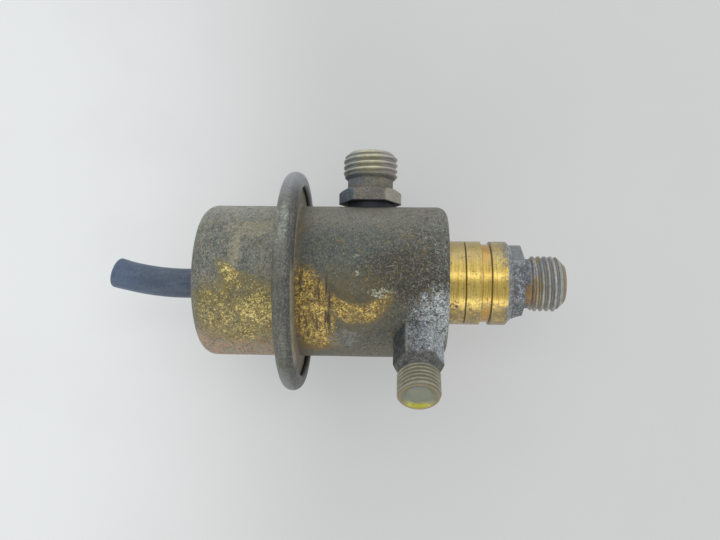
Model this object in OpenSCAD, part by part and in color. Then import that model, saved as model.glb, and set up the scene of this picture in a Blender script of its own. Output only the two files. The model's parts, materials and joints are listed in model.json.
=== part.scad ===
// Diaphragm fuel pressure regulator. Two drawn steel cups are joined by a rolled rim that clamps the
// diaphragm. The axis is X: the spring housing and its vacuum hose lie towards -X, the return port
// points to +X and the inlet port to +Y. The origin is the middle of the spring housing's straight wall.

/* [Housings] */
// Outside diameter of both housings
housing_d = 38; // [34:0.5:44]
// Sheet thickness of the spring housing
cup_sheet = 1.3; // [1:0.1:1.6]
// Length of the spring housing's straight wall, where a bracket can hold it
cup_band = 16; // [14:0.5:24]
// Outside radius at the spring housing's closed end
cup_corner_r = 3.7; // [2.5:0.1:4.5]
// Outside radius where a housing turns out into its flange
flange_root_r = 1; // [0.6:0.1:1.5]
// Diameter over the rolled rim
rim_d = 55.4; // [52:0.2:62]
// Inside diameter of the rim's rolled lip
lip_d = 48; // [46:0.2:49]
// Sheet thickness of the fuel housing
fuel_sheet = 1.3; // [1:0.1:1.8]
// Length of the fuel housing from its flange face to its closed end
fuel_len = 38.2; // [34:0.2:50]
// Outside radius at the fuel housing's closed end
fuel_corner_r = 2.7; // [2:0.1:3.5]

/* [Vacuum connection] */
// Distance of the nipple's axis from the housing's axis, towards the inlet
nipple_offset = -1; // [-2:0.1:2]
// Outside diameter of the nipple
nipple_d = 4.6; // [4:0.1:5]
// Bore of the nipple
nipple_bore_d = 2.8; // [2:0.1:3]
// Length of the nipple outside the housing
nipple_len = 4.5; // [4:0.5:8]
// Height of the bead at the nipple's tip
nipple_bead = 0.3; // [0.2:0.05:0.4]
// Length of the bead's slope to the nipple's tip
nipple_bead_lead = 0.6; // [0.4:0.1:1]
// Length of the bead's slope to the housing
nipple_bead_tail = 1.2; // [0.8:0.1:2]
// Diameter of the nipple's head inside the housing
nipple_head_d = 8; // [7:0.5:10]
// Outside diameter of the hose
hose_d = 7.5; // [7:0.1:9]
// Bore of the hose past the nipple
hose_bore_d = 3.8; // [3:0.1:4]
// Straight length of hose between the nipple's tip and the bend
hose_lead_len = 0.5; // [0.5:0.5:10]
// Radius of the hose's bend, on its centre line
hose_bend_r = 66; // [40:1:90]
// Angle of the hose's bend, which runs to its cut end
hose_bend_angle = 16.4; // [5:0.1:24]

/* [Diaphragm and main spring] */
// Thickness of the diaphragm
diaphragm_t = 0.9; // [0.7:0.1:1.2]
// Outside diameter of the spring plate
plate_d = 26; // [24:0.2:26.4]
// Sheet thickness of the spring plate
plate_sheet = 1.2; // [1:0.1:1.5]
// Height of the spring plate's wall
plate_wall_h = 3.7; // [3:0.1:5]
// Wire diameter of the main spring
spring_wire = 2.4; // [2:0.1:2.6]
// Turns of the main spring
spring_turns = 5; // [4:0.25:5.5]
// Thickness of the washer under the main spring's fixed end
seat_sheet = 1; // [0.8:0.1:1.4]
// Height of that washer's collar
seat_collar_h = 3; // [2:0.1:4]
// Thickness of the washer on the fuel side of the diaphragm
washer_t = 1; // [0.8:0.1:1.5]
// Diameter of the washer on the fuel side of the diaphragm
washer_d = 24; // [20:0.5:26]

/* [Valve] */
// Diameter of the valve carrier
carrier_d = 14; // [13:0.2:16]
// Length of the valve carrier's body
carrier_len = 8; // [7.5:0.1:10]
// Bore of the valve carrier
carrier_bore_d = 10.6; // [10:0.1:11.4]
// Thickness of the valve carrier's floor
carrier_floor_t = 1.8; // [1.6:0.1:2.4]
// Diameter of the carrier's neck, through the diaphragm
neck_d = 6; // [5:0.2:7]
// Diameter of the neck's peened head
peen_d = 9; // [8:0.2:10]
// Height of the peened head
peen_h = 1.2; // [1:0.1:1.6]
// Diameter of the pivot ball
ball_d = 4; // [3.6:0.1:4.2]
// Diameter of the valve plate's sealing face
face_d = 7.8; // [7.4:0.1:8]
// Thickness of the valve plate's flange
face_flange_t = 1; // [0.8:0.1:1.2]
// Distance that the valve plate stands out of the carrier
face_proud = 1; // [0.6:0.1:2]
// Wire diameter of the plate spring
plate_spring_wire = 0.45; // [0.35:0.05:0.5]
// Turns of the plate spring
plate_spring_turns = 2.5; // [2:0.25:3]
// Thickness of the plate's retaining ring
retainer_t = 1; // [0.8:0.1:1.2]
// Outside diameter of the return tube
tube_d = 9; // [8.4:0.1:10]
// Bore of the return tube
tube_bore_d = 7.2; // [6.6:0.1:7.6]
// Outside diameter of the seat's nose
seat_nose_d = 6.6; // [6:0.1:7]
// Bore of the seat
seat_bore_d = 4.8; // [4:0.1:5]
// Straight length of the seat's nose
seat_nose_len = 1.5; // [1:0.1:2.5]
// Length of the seat's shank in the tube
seat_shank_len = 6; // [4:0.5:8]

/* [Inlet fitting] */
// Distance of the inlet's axis from the middle of the rim
inlet_from_rim = 18.55; // [16:0.05:22]
// Outside diameter of the inlet's thread
inlet_thread_d = 13.85; // [13:0.05:14]
// Width across the flats of the inlet's hexagon
inlet_af = 14; // [13:0.1:16]
// Height of the inlet's hexagon at its corners
inlet_hex_h = 2.7; // [2:0.1:5]
// Space under the inlet's hexagon
inlet_gap = 0.8; // [0.4:0.1:1.5]
// Diameter of the inlet's neck
inlet_neck_d = 11.6; // [11:0.1:12]
// Length of the inlet's neck
inlet_neck_len = 2.1; // [1:0.1:4]
// Length of the inlet's thread
inlet_thread_len = 5.9; // [5:0.1:12]
// Chamfer on the end of the inlet's thread
inlet_chamfer = 1.4; // [0.6:0.1:1.8]
// Bore of the inlet
inlet_bore_d = 7.5; // [6:0.1:8.5]

/* [Branch fitting] */
// Distance of the branch's axis from the fuel housing's closed end
branch_from_end = 7.2; // [7:0.1:10]
// Angle of the branch round the axis, from the inlet
branch_angle = 140; // [120:1:180]
// Outside diameter of the branch's thread
branch_thread_d = 9.95; // [9.5:0.05:10.5]
// Width across the flats of the branch's hexagon
branch_af = 10.4; // [10.2:0.1:12]
// Height of the branch's hexagon over the housing, at its corners
branch_hex_h = 7.7; // [6:0.1:10]
// Diameter of the branch's neck
branch_neck_d = 8.8; // [8.4:0.1:9]
// Length of the branch's neck
branch_neck_len = 0.9; // [0.2:0.1:2]
// Length of the branch's thread
branch_thread_len = 5.9; // [4:0.1:12]
// Chamfer on the end of the branch's thread
branch_chamfer = 0.5; // [0.3:0.1:0.8]
// Bore of the branch
branch_bore_d = 4.5; // [4:0.1:5]
// Angle across the cone of the branch's shallow mouth
branch_mouth_angle = 120; // [90:5:130]
// Diameter of the strainer that is pressed into the branch's mouth
strainer_d = 5.8; // [5.4:0.1:6.4]
// Thickness of the strainer
strainer_t = 0.5; // [0.3:0.1:1]

/* [Return port] */
// Outside diameter of the bush
bush_d = 21; // [20:0.2:24]
// Length of the bush outside the housing
bush_len = 15.7; // [14:0.1:20]
// Chamfer at the bush's outer end
bush_chamfer = 1.1; // [0.6:0.1:1.5]
// Distance of the bush's groove from the housing
groove_from_housing = 8.3; // [7:0.1:10]
// Width of the bush's groove
groove_w = 2.2; // [1.5:0.1:3]
// Depth of the bush's groove
groove_depth = 0.7; // [0.4:0.1:1]
// Distance of the bush's scribed line from the housing
line_from_housing = 4.3; // [3:0.1:5]
// Width of the scribed line
line_w = 0.4; // [0.2:0.1:0.6]
// Diameter of the bush's spigot, through the housing
bush_spigot_d = 16; // [14:0.2:18]
// Diameter of the return fitting's spigot, in the bush
return_spigot_d = 14; // [12.6:0.1:15]
// Length of the return fitting's spigot
return_spigot_len = 7; // [5:0.1:8]
// Width across the flats of the return hexagon
return_af = 17; // [16:0.1:18]
// Height of the return hexagon
return_hex_h = 2.95; // [2.5:0.05:6]
// Chamfer on the corners of the return hexagon's outer face
return_hex_chamfer = 0.4; // [0.2:0.1:1.5]
// Angle of the return hexagon round the axis
return_turn = 28; // [0:1:60]
// Outside diameter of the return thread
return_thread_d = 13.85; // [13:0.05:14]
// Diameter of the return fitting's neck
return_neck_d = 12.4; // [12:0.1:12.8]
// Length of the return fitting's neck
return_neck_len = 1.95; // [0.6:0.05:3]
// Length of the return thread
return_thread_len = 8; // [7:0.1:14]
// Chamfer on the end of the return thread
return_chamfer = 2.2; // [0.8:0.1:2.4]
// Bore of the return fitting past the tube
return_bore_d = 8; // [7.6:0.1:8.2]

/* [Fits] */
// Radial clearance round parts that move past each other
run_gap = 0.3; // [0.2:0.05:0.4]
// Clearance between the diaphragm's fold and the walls beside it
fold_gap = 0.2; // [0.1:0.05:0.4]
// Clearance at a ball, and at the ends of a spring
touch_gap = 0.02; // [0.01:0.01:0.05]
// Length by which a fitting's spigot reaches into the housing
spigot_proud = 1; // [0.5:0.1:1.5]
// Angle of a union's conical seat
union_seat_angle = 60; // [55:1:65]
// Flat ring left round a union seat's mouth
union_lip = 0.3; // [0.2:0.05:0.5]

/* [Hidden] */

// Curves
$fn = 96;
// Length and angle by which a cut runs past a face
cut = 1;
cut_angle = 1;
// Part turn at each end of a spring that lies closed, and its pitch in wire diameters
closed_turns = 0.75;
closed_pitch = 1.06;
// Sides of each spring's wire, and steps in one turn
main_spring_sides = 10;
main_spring_steps = 32;
plate_spring_sides = 8;
plate_spring_steps = 24;
// Half angle of the dimples that hold the pivot ball
dimple_half_angle = 60;
// Slopes of the shoulders and chamfers on the hexagons
hex_slope_angle = 30;
branch_slope_angle = 50;

// Radii of the housings and of the rim
housing_r = housing_d / 2;
cup_bore_r = housing_r - cup_sheet;
fuel_bore_r = housing_r - fuel_sheet;
rim_half = (2 * cup_sheet + diaphragm_t + fuel_sheet) / 2;
curl_centre_r = rim_d / 2 - rim_half;

// Places along the axis, from the spring housing's closed end to the return port
cup_end_x = -cup_band / 2 - cup_corner_r;
cup_floor_x = cup_end_x + cup_sheet;
flange_x = cup_band / 2 + flange_root_r;
spring_side_x = flange_x + cup_sheet;
fuel_side_x = spring_side_x + diaphragm_t;
lip_x = fuel_side_x + fuel_sheet;
rim_x = flange_x + rim_half;
fuel_end_x = fuel_side_x + fuel_len;
fuel_floor_x = fuel_end_x - fuel_sheet;
inlet_x = rim_x + inlet_from_rim;
branch_x = fuel_end_x - branch_from_end;
bush_end_x = fuel_end_x + bush_len;

// Places of the valve's parts, with the valve closed
plate_x = spring_side_x - plate_sheet;
carrier_x = fuel_side_x + washer_t;
carrier_floor_x = carrier_x + carrier_floor_t;
carrier_end_x = carrier_x + carrier_len;
ball_x = carrier_floor_x + ball_d / 4;
face_back_x = ball_x + ball_d / 4;
face_x = carrier_end_x + face_proud;
retainer_x = carrier_end_x - retainer_t;
dimple_reach = (ball_d / 2 + touch_gap) / sin(dimple_half_angle);
tube_x = face_x + seat_nose_len + (tube_d - seat_nose_d) / 2;
tube_end_x = bush_end_x - spigot_proud;

// Diameters that follow from a neighbour
spring_od = plate_d - 2 * plate_sheet - 2 * run_gap;
collar_d = spring_od - 2 * spring_wire - 2 * run_gap;
fold_centre_r = (cup_bore_r + plate_d / 2) / 2;
fold_r = (cup_bore_r - plate_d / 2 - diaphragm_t) / 2 - fold_gap;
face_flange_d = carrier_bore_d - 2 * run_gap;
retainer_bore_d = face_d + 2 * run_gap;
plate_spring_d = (face_flange_d + retainer_bore_d) / 2;
inlet_spigot_d = inlet_neck_d;
branch_spigot_d = branch_neck_d;
bush_bore_len = bush_len - return_spigot_len;

// Heights along the branch's own axis, and the radius of its mouth
branch_face_z = housing_r + branch_hex_h + shoulder_h(branch_af, branch_neck_d / 2, branch_slope_angle);
branch_tip_z = thread_end(branch_face_z, branch_neck_d / 2, branch_neck_len, branch_thread_d / 2,
                          branch_thread_len);
branch_mouth_r = seat_mouth_r(branch_thread_d, branch_chamfer);
strainer_out_z = branch_tip_z - (branch_mouth_r - strainer_d / 2) / tan(branch_mouth_angle / 2);
strainer_in_z = strainer_out_z - strainer_t;

// Turns a profile of radius and distance round the X axis.
module turned() {
    rotate([0, 90, 0]) rotate_extrude() children();
}

// Puts a shape built along Z on the housing's axis, pointing out at an angle from +Y towards +Z.
module on_port(x, angle) {
    translate([x, 0, 0]) rotate([angle - 90, 0, 0]) children();
}

// Closed tube profile from radius r1 to r2 and from x1 to x2.
module ring_profile(r1, r2, x1, x2) {
    translate([r1, x1]) square([r2 - r1, x2 - x1]);
}

// Filled cup profile with its closed end at 0 and a round corner.
module cup_outline(r, length, corner_r) {
    translate([0, corner_r]) square([r, length - corner_r]);
    square([r - corner_r, length]);
    translate([r - corner_r, corner_r]) circle(corner_r);
}

// What a square corner has outside its rounding, with the round's centre at the origin.
module corner_waste(r) {
    difference() {
        translate([-r, 0]) square(r);
        circle(r);
    }
}

// Section of a drawn cup with a flange at its open end, all of one sheet.
module cup_profile(r, sheet, length, corner_r, flange_r) {
    root = [r + flange_root_r, length - sheet - flange_root_r];
    bell_r = flange_root_r + sheet;
    difference() {
        union() {
            cup_outline(r, length, corner_r);
            ring_profile(r - sheet / 2, flange_r, length - sheet, length);
            ring_profile(r - sheet / 2, root[0], root[1], length - sheet / 2);
        }
        translate(root) circle(flange_root_r);
        translate([0, sheet]) cup_outline(r - sheet, length, corner_r - sheet);
        translate(root) corner_waste(bell_r);
        translate([-r, -cut]) square([r, length + 2 * cut]);
    }
}

// Section of the rim: the flange's edge is rolled round both flanges, and its lip is pressed down.
module curl_profile() {
    lip_r = lip_d / 2;
    translate([curl_centre_r, rim_x]) difference() {
        circle(rim_half);
        circle(rim_half - cup_sheet);
        translate([-rim_d, -rim_half - cut]) square([rim_d, 2 * rim_half + 2 * cut]);
    }
    ring_profile(lip_r + cup_sheet / 2, curl_centre_r, lip_x, lip_x + cup_sheet);
    translate([lip_r + cup_sheet / 2, lip_x + cup_sheet / 2]) circle(cup_sheet / 2);
}

// Union thread's outline from the hexagon's face outwards: neck, run-out, thread and end chamfer.
module thread_profile(z, neck_r, neck_len, thread_r, thread_len, chamfer) {
    run_out = thread_r - neck_r;
    start = z + neck_len;
    end = start + run_out + thread_len;
    polygon([[0, z - cut], [neck_r, z - cut], [neck_r, start], [thread_r, start + run_out],
             [thread_r, end - chamfer], [thread_r - chamfer, end], [0, end]]);
}

// End of the thread that thread_profile draws.
function thread_end(z, neck_r, neck_len, thread_r, thread_len) =
    z + neck_len + thread_r - neck_r + thread_len;

// Hexagon whose upper corners are cut by a cone that comes down to face_r at its top.
module hex_head(af, z, height, face_r, slope) {
    corner_r = af / 2 / cos(30);
    shoulder = (corner_r - face_r) * tan(slope);
    intersection() {
        translate([0, 0, z]) cylinder(r = corner_r, h = height + shoulder, $fn = 6);
        rotate_extrude() polygon([[0, z], [corner_r + cut, z], [corner_r + cut, z + height],
                                  [corner_r, z + height], [face_r, z + height + shoulder],
                                  [0, z + height + shoulder]]);
    }
}

// Height that hex_head's cone adds over the height at its corners.
function shoulder_h(af, face_r, slope) = (af / 2 / cos(30) - face_r) * tan(slope);

// Bore with the conical seat of a union at its outer end.
module union_bore(z_in, z_out, bore_r, mouth_r) {
    depth = (mouth_r - bore_r) / tan(union_seat_angle / 2);
    translate([0, 0, z_in - cut]) cylinder(r = bore_r, h = z_out - z_in + 2 * cut);
    translate([0, 0, z_out - depth]) cylinder(r1 = bore_r, r2 = mouth_r, h = depth);
}

// Radius of a union seat's mouth on a thread.
function seat_mouth_r(thread_d, chamfer) = thread_d / 2 - chamfer - union_lip;

// Round wire wound round Z between two planes, with a closed part turn at each end.
module coil_spring(mean_r, wire_d, z1, z2, turns, sides, steps) {
    closed_rise = closed_turns * closed_pitch * wire_d;
    rise = z2 - z1 - wire_d;
    count = ceil(turns * steps);
    function height(t) =
        t < closed_turns ? t / closed_turns * closed_rise
        : t > turns - closed_turns ? rise - (turns - t) / closed_turns * closed_rise
        : closed_rise + (t - closed_turns) / (turns - 2 * closed_turns) * (rise - 2 * closed_rise);
    function wire_point(t, side) =
        let (angle = 360 * t, r = mean_r + wire_d / 2 * cos(side), h = height(t) + wire_d / 2 * sin(side))
        [r * cos(angle), r * sin(angle), z1 + wire_d / 2 + h];
    points = [for (i = [0:count]) for (k = [0:sides - 1]) wire_point(turns * i / count, 360 * k / sides)];
    walls = [for (i = [0:count - 1]) for (k = [0:sides - 1])
             let (next = (k + 1) % sides)
             [i * sides + k, (i + 1) * sides + k, (i + 1) * sides + next, i * sides + next]];
    start_cap = [for (k = [0:sides - 1]) k];
    end_cap = [for (k = [sides - 1:-1:0]) count * sides + k];
    polyhedron(points, concat(walls, [start_cap, end_cap]));
}

module spring_housing() {
    color("#8b8876") difference() {
        turned() {
            translate([0, cup_end_x])
                cup_profile(housing_r, cup_sheet, spring_side_x - cup_end_x, cup_corner_r, curl_centre_r);
            curl_profile();
        }
        translate([cup_end_x - cut, nipple_offset, 0]) rotate([0, 90, 0])
            cylinder(d = nipple_d, h = cup_sheet + 2 * cut);
    }
}

// Nipple's outside, also cut out of the hose that is pushed over it.
module nipple_profile() {
    tip_x = cup_end_x - nipple_len;
    bead_x = tip_x + nipple_bead_lead;
    r = nipple_d / 2;
    polygon([[0, tip_x], [r, tip_x], [r + nipple_bead, bead_x], [r, bead_x + nipple_bead_tail],
             [r, cup_floor_x], [0, cup_floor_x]]);
}

module vacuum_nipple() {
    color("#b4a25c") translate([0, nipple_offset, 0]) turned() difference() {
        union() {
            nipple_profile();
            ring_profile(0, nipple_head_d / 2, cup_floor_x, cup_floor_x + seat_sheet);
        }
        translate([-nipple_bore_d / 2, cup_end_x - nipple_len - cut])
            square([nipple_bore_d, nipple_len + cup_sheet + seat_sheet + 2 * cut]);
    }
}

// Solid rod along the hose's route: straight over the nipple, then an arc to the cut end.
module hose_rod(d, angle_extra) {
    lead = nipple_len + hose_lead_len;
    bend = hose_bend_angle + angle_extra;
    translate([cup_end_x, 0, 0]) rotate([0, -90, 0]) cylinder(d = d, h = lead);
    translate([cup_end_x - lead, hose_bend_r, 0]) rotate_extrude(angle = bend, start = -90 - bend)
        translate([hose_bend_r, 0]) circle(d = d);
}

module vacuum_hose() {
    color("#22262b") translate([0, nipple_offset, 0]) difference() {
        hose_rod(hose_d, 0);
        hose_rod(hose_bore_d, cut_angle);
        turned() nipple_profile();
    }
}

module spring_seat() {
    color("#9a9a92") turned() {
        ring_profile(collar_d / 2 - seat_sheet, plate_d / 2, cup_floor_x, cup_floor_x + seat_sheet);
        ring_profile(collar_d / 2 - seat_sheet, collar_d / 2, cup_floor_x, cup_floor_x + seat_collar_h);
    }
}

module main_spring() {
    color("#777b7d") rotate([0, 90, 0])
        coil_spring((spring_od - spring_wire) / 2, spring_wire, cup_floor_x + seat_sheet + touch_gap,
                    plate_x - touch_gap, spring_turns, main_spring_sides, main_spring_steps);
}

module spring_plate() {
    color("#a59a60") turned() {
        ring_profile(neck_d / 2, plate_d / 2, plate_x, spring_side_x);
        ring_profile(plate_d / 2 - plate_sheet, plate_d / 2, spring_side_x - plate_wall_h, spring_side_x);
    }
}

module diaphragm() {
    color("#3a3430") turned() {
        outer_r = fold_r + diaphragm_t / 2;
        inner_r = fold_r - diaphragm_t / 2;
        ring_profile(neck_d / 2, fold_centre_r - inner_r, spring_side_x, fuel_side_x);
        ring_profile(fold_centre_r + inner_r, curl_centre_r, spring_side_x, fuel_side_x);
        translate([fold_centre_r, fuel_side_x]) difference() {
            circle(outer_r);
            circle(inner_r);
            translate([-outer_r - cut, 0]) square(2 * outer_r + 2 * cut);
        }
    }
}

module support_washer() {
    color("#9a9a92") turned()
        ring_profile(neck_d / 2, washer_d / 2, fuel_side_x, carrier_x);
}

module valve_carrier() {
    color("#b9a865") turned() difference() {
        union() {
            ring_profile(0, carrier_d / 2, carrier_x, carrier_end_x);
            ring_profile(0, neck_d / 2, plate_x - peen_h, carrier_x);
            ring_profile(0, peen_d / 2, plate_x - peen_h, plate_x);
        }
        ring_profile(0, carrier_bore_d / 2, carrier_floor_x, carrier_end_x + cut);
        polygon([[0, ball_x - dimple_reach], [dimple_reach * tan(dimple_half_angle), ball_x], [0, ball_x]]);
    }
}

module pivot_ball() {
    color("#c4c6c8") translate([ball_x, 0, 0]) sphere(d = ball_d);
}

module valve_plate() {
    color("#b5b7b8") turned() difference() {
        union() {
            ring_profile(0, face_flange_d / 2, face_back_x, face_back_x + face_flange_t);
            ring_profile(0, face_d / 2, face_back_x, face_x);
        }
        polygon([[0, ball_x + dimple_reach], [dimple_reach * tan(dimple_half_angle), ball_x], [0, ball_x]]);
    }
}

module plate_spring() {
    color("#8d9193") rotate([0, 90, 0])
        coil_spring(plate_spring_d / 2, plate_spring_wire, face_back_x + face_flange_t + touch_gap,
                    retainer_x - touch_gap, plate_spring_turns, plate_spring_sides,
                    plate_spring_steps);
}

module plate_retainer() {
    color("#9a9a92") turned()
        ring_profile(retainer_bore_d / 2, carrier_bore_d / 2, retainer_x, carrier_end_x);
}

module fuel_housing() {
    color("#857f63") difference() {
        turned() translate([0, fuel_end_x]) mirror([0, 1])
            cup_profile(housing_r, fuel_sheet, fuel_len, fuel_corner_r, curl_centre_r);
        on_port(inlet_x, 0) cylinder(d = inlet_spigot_d, h = housing_d);
        on_port(branch_x, branch_angle) cylinder(d = branch_spigot_d, h = housing_d);
        translate([fuel_floor_x - cut, 0, 0]) rotate([0, 90, 0])
            cylinder(d = bush_spigot_d, h = fuel_sheet + 2 * cut);
    }
}

module inlet_fitting() {
    base = housing_r + inlet_gap;
    neck_r = inlet_neck_d / 2;
    thread_r = inlet_thread_d / 2;
    face = base + inlet_hex_h + shoulder_h(inlet_af, neck_r, hex_slope_angle);
    tip = thread_end(face, neck_r, inlet_neck_len, thread_r, inlet_thread_len);
    inner = fuel_bore_r - spigot_proud;
    color("#6f6a55") on_port(inlet_x, 0) difference() {
        union() {
            translate([0, 0, inner]) cylinder(d = inlet_spigot_d, h = base - inner + cut);
            hex_head(inlet_af, base, inlet_hex_h, neck_r, hex_slope_angle);
            rotate_extrude()
                thread_profile(face, neck_r, inlet_neck_len, thread_r, inlet_thread_len, inlet_chamfer);
        }
        union_bore(inner, tip, inlet_bore_d / 2, seat_mouth_r(inlet_thread_d, inlet_chamfer));
    }
}

module branch_fitting() {
    neck_r = branch_neck_d / 2;
    thread_r = branch_thread_d / 2;
    inner = fuel_bore_r - spigot_proud;
    hex_h = housing_r + branch_hex_h - inner;
    strainer_r = strainer_d / 2;
    color("#5f625e") on_port(branch_x, branch_angle) difference() {
        union() {
            difference() {
                hex_head(branch_af, inner, hex_h, neck_r, branch_slope_angle);
                translate([-housing_d / 2, 0, 0]) rotate([0, 90, 0]) cylinder(r = housing_r, h = housing_d);
            }
            translate([0, 0, inner]) cylinder(d = branch_spigot_d, h = hex_h);
            rotate_extrude()
                thread_profile(branch_face_z, neck_r, branch_neck_len, thread_r, branch_thread_len,
                               branch_chamfer);
        }
        translate([0, 0, inner - cut]) cylinder(d = branch_bore_d, h = branch_tip_z - inner);
        rotate_extrude() polygon([[0, strainer_in_z], [strainer_r, strainer_in_z],
                                  [strainer_r, strainer_out_z], [branch_mouth_r, branch_tip_z],
                                  [branch_mouth_r, branch_tip_z + cut], [0, branch_tip_z + cut]]);
    }
}

module branch_strainer() {
    color("#8f917c") on_port(branch_x, branch_angle) translate([0, 0, strainer_in_z])
        cylinder(d = strainer_d, h = strainer_t);
}

module return_bush() {
    r = bush_d / 2;
    floor_r = r - groove_depth;
    groove_x = fuel_end_x + groove_from_housing;
    line_x = fuel_end_x + line_from_housing;
    color("#b99a3e") turned() difference() {
        union() {
            polygon([[0, fuel_end_x], [r, fuel_end_x], [r, bush_end_x - bush_chamfer],
                     [r - bush_chamfer, bush_end_x], [0, bush_end_x]]);
            ring_profile(0, bush_spigot_d / 2, fuel_floor_x - spigot_proud, fuel_end_x);
        }
        ring_profile(floor_r, r + cut, groove_x, groove_x + groove_w);
        polygon([[r, line_x - line_w / 2], [r - line_w / 2, line_x], [r, line_x + line_w / 2],
                 [r + cut, line_x]]);
        ring_profile(0, tube_d / 2, fuel_floor_x - spigot_proud - cut, bush_end_x + cut);
        ring_profile(0, return_spigot_d / 2, fuel_end_x + bush_bore_len, bush_end_x + cut);
    }
}

module return_fitting() {
    neck_r = return_neck_d / 2;
    thread_r = return_thread_d / 2;
    face_r = return_af / 2 / cos(30) - return_hex_chamfer;
    corner_h = return_hex_h - shoulder_h(return_af, face_r, hex_slope_angle);
    tip = thread_end(return_hex_h, neck_r, return_neck_len, thread_r, return_thread_len);
    color("#7f837c") translate([bush_end_x, 0, 0]) rotate([0, 90, 0]) difference() {
        union() {
            translate([0, 0, -return_spigot_len]) cylinder(d = return_spigot_d, h = return_spigot_len + cut);
            rotate([0, 0, -return_turn]) hex_head(return_af, 0, corner_h, face_r, hex_slope_angle);
            rotate_extrude()
                thread_profile(return_hex_h, neck_r, return_neck_len, thread_r, return_thread_len,
                               return_chamfer);
        }
        union_bore(-return_spigot_len, tip, return_bore_d / 2, seat_mouth_r(return_thread_d, return_chamfer));
        translate([0, 0, -return_spigot_len - cut])
            cylinder(d = tube_d, h = tube_end_x - bush_end_x + return_spigot_len + cut);
    }
}

module return_tube() {
    color("#a8a690") turned()
        ring_profile(tube_bore_d / 2, tube_d / 2, tube_x, tube_end_x);
}

module valve_seat() {
    nose_r = seat_nose_d / 2;
    color("#c0c0ba") turned() difference() {
        union() {
            polygon([[0, face_x], [nose_r, face_x], [nose_r, face_x + seat_nose_len],
                     [tube_d / 2, tube_x], [0, tube_x]]);
            ring_profile(0, tube_bore_d / 2, face_x + seat_nose_len, tube_x + seat_shank_len);
        }
        ring_profile(0, seat_bore_d / 2, face_x - cut, tube_x + seat_shank_len + cut);
    }
}

spring_housing();
vacuum_nipple();
vacuum_hose();
spring_seat();
main_spring();
spring_plate();
diaphragm();
support_washer();
valve_carrier();
pivot_ball();
valve_plate();
plate_spring();
plate_retainer();
fuel_housing();
inlet_fitting();
branch_fitting();
branch_strainer();
return_bush();
return_fitting();
return_tube();
valve_seat();
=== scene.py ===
# %% [markdown]
# # Looks for a fuel pressure regulator
#
# The regulator is two drawn steel cups that are rolled together at a rim, with three threaded unions, a
# yellow plated bush and a stub of rubber hose. Its solids are already packed at their real size. This
# lesson loads them as a fixed frame and makes what the eye sees: smooth skins with cut threads, plating
# that has aged, rubber, light and a view.

import json
import math

import bmesh
import bpy
import numpy as np
from mathutils import Matrix, Vector


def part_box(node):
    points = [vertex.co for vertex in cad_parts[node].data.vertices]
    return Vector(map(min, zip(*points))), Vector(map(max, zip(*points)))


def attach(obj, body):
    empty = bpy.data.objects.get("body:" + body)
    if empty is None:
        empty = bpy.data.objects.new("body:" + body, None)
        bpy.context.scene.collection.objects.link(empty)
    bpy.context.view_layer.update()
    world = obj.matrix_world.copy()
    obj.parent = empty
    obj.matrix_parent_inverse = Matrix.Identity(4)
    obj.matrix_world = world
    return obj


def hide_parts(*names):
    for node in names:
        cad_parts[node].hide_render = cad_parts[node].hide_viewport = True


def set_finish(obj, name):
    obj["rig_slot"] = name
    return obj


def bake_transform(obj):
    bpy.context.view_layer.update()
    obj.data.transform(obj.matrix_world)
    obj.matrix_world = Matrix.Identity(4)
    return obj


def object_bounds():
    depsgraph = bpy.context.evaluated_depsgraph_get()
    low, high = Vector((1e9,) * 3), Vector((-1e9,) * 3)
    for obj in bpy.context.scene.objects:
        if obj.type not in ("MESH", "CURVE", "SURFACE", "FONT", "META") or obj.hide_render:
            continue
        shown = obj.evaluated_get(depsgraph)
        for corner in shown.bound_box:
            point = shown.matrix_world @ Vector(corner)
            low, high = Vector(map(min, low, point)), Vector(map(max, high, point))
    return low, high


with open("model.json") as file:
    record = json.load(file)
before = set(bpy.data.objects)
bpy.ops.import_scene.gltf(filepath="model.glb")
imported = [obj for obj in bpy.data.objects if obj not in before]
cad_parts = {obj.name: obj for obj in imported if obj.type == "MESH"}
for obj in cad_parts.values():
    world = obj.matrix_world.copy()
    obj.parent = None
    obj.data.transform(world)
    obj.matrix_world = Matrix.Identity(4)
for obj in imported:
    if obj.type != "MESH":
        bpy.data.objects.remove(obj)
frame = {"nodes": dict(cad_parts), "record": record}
cad_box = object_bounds()
print("solids:", ", ".join(sorted(frame["nodes"])))

# %% [markdown]
# ## Sizes come from the solids
#
# Blender measures in metres here, but a maker thinks in millimetres, so sizes are written in millimetres
# and a skin is turned into metres when its mesh is made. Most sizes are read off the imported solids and
# their mounts. Typing them all again would work too, but then a change to the part would leave its looks
# behind.

# %% Read sizes off the frame
MM = 0.001


def box_mm(node):
    """Lowest and highest corner of a solid, in millimetres."""
    low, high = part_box(node)
    return np.array(low) / MM, np.array(high) / MM


def mount_mm(name):
    """Middle, axis, radius and half length of a mount, in millimetres."""
    mount = next(m for m in frame["record"]["mounts"] if m["name"] == name)
    middle = np.array(mount["pos_m"]) / MM
    return middle, np.array(mount["axis"], float), mount["dims"]["r_mm"], mount["dims"]["length_mm"] / 2


_, _, housing_r, band_half = mount_mm("bracket_band")
cup_low, cup_high = box_mm("spring_housing")
fuel_low, fuel_high = box_mm("fuel_housing")
bush_low, bush_high = box_mm("return_bush")
rim_r = cup_high[2]
sheet = 1.3   # thickness of both drawn cups
root_r = 1.0  # radius of the hollow between a cup's wall and its flange
print(f"housings {2 * housing_r:.1f} mm, rim {2 * rim_r:.1f} mm, {cad_box[1].x - cad_box[0].x:.4f} m long")

# %% [markdown]
# ## Sections drawn from lines and arcs
#
# Nearly every piece here was turned on a lathe or drawn from a disc, so its skin is one section carried
# round an axis. A spin tool could do that, but with numpy the section is an array of (x, r) points and
# the whole skin is one formula. The sections are closed loops that run along the outside and back along
# the inside, so each skin has its real wall.

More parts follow.
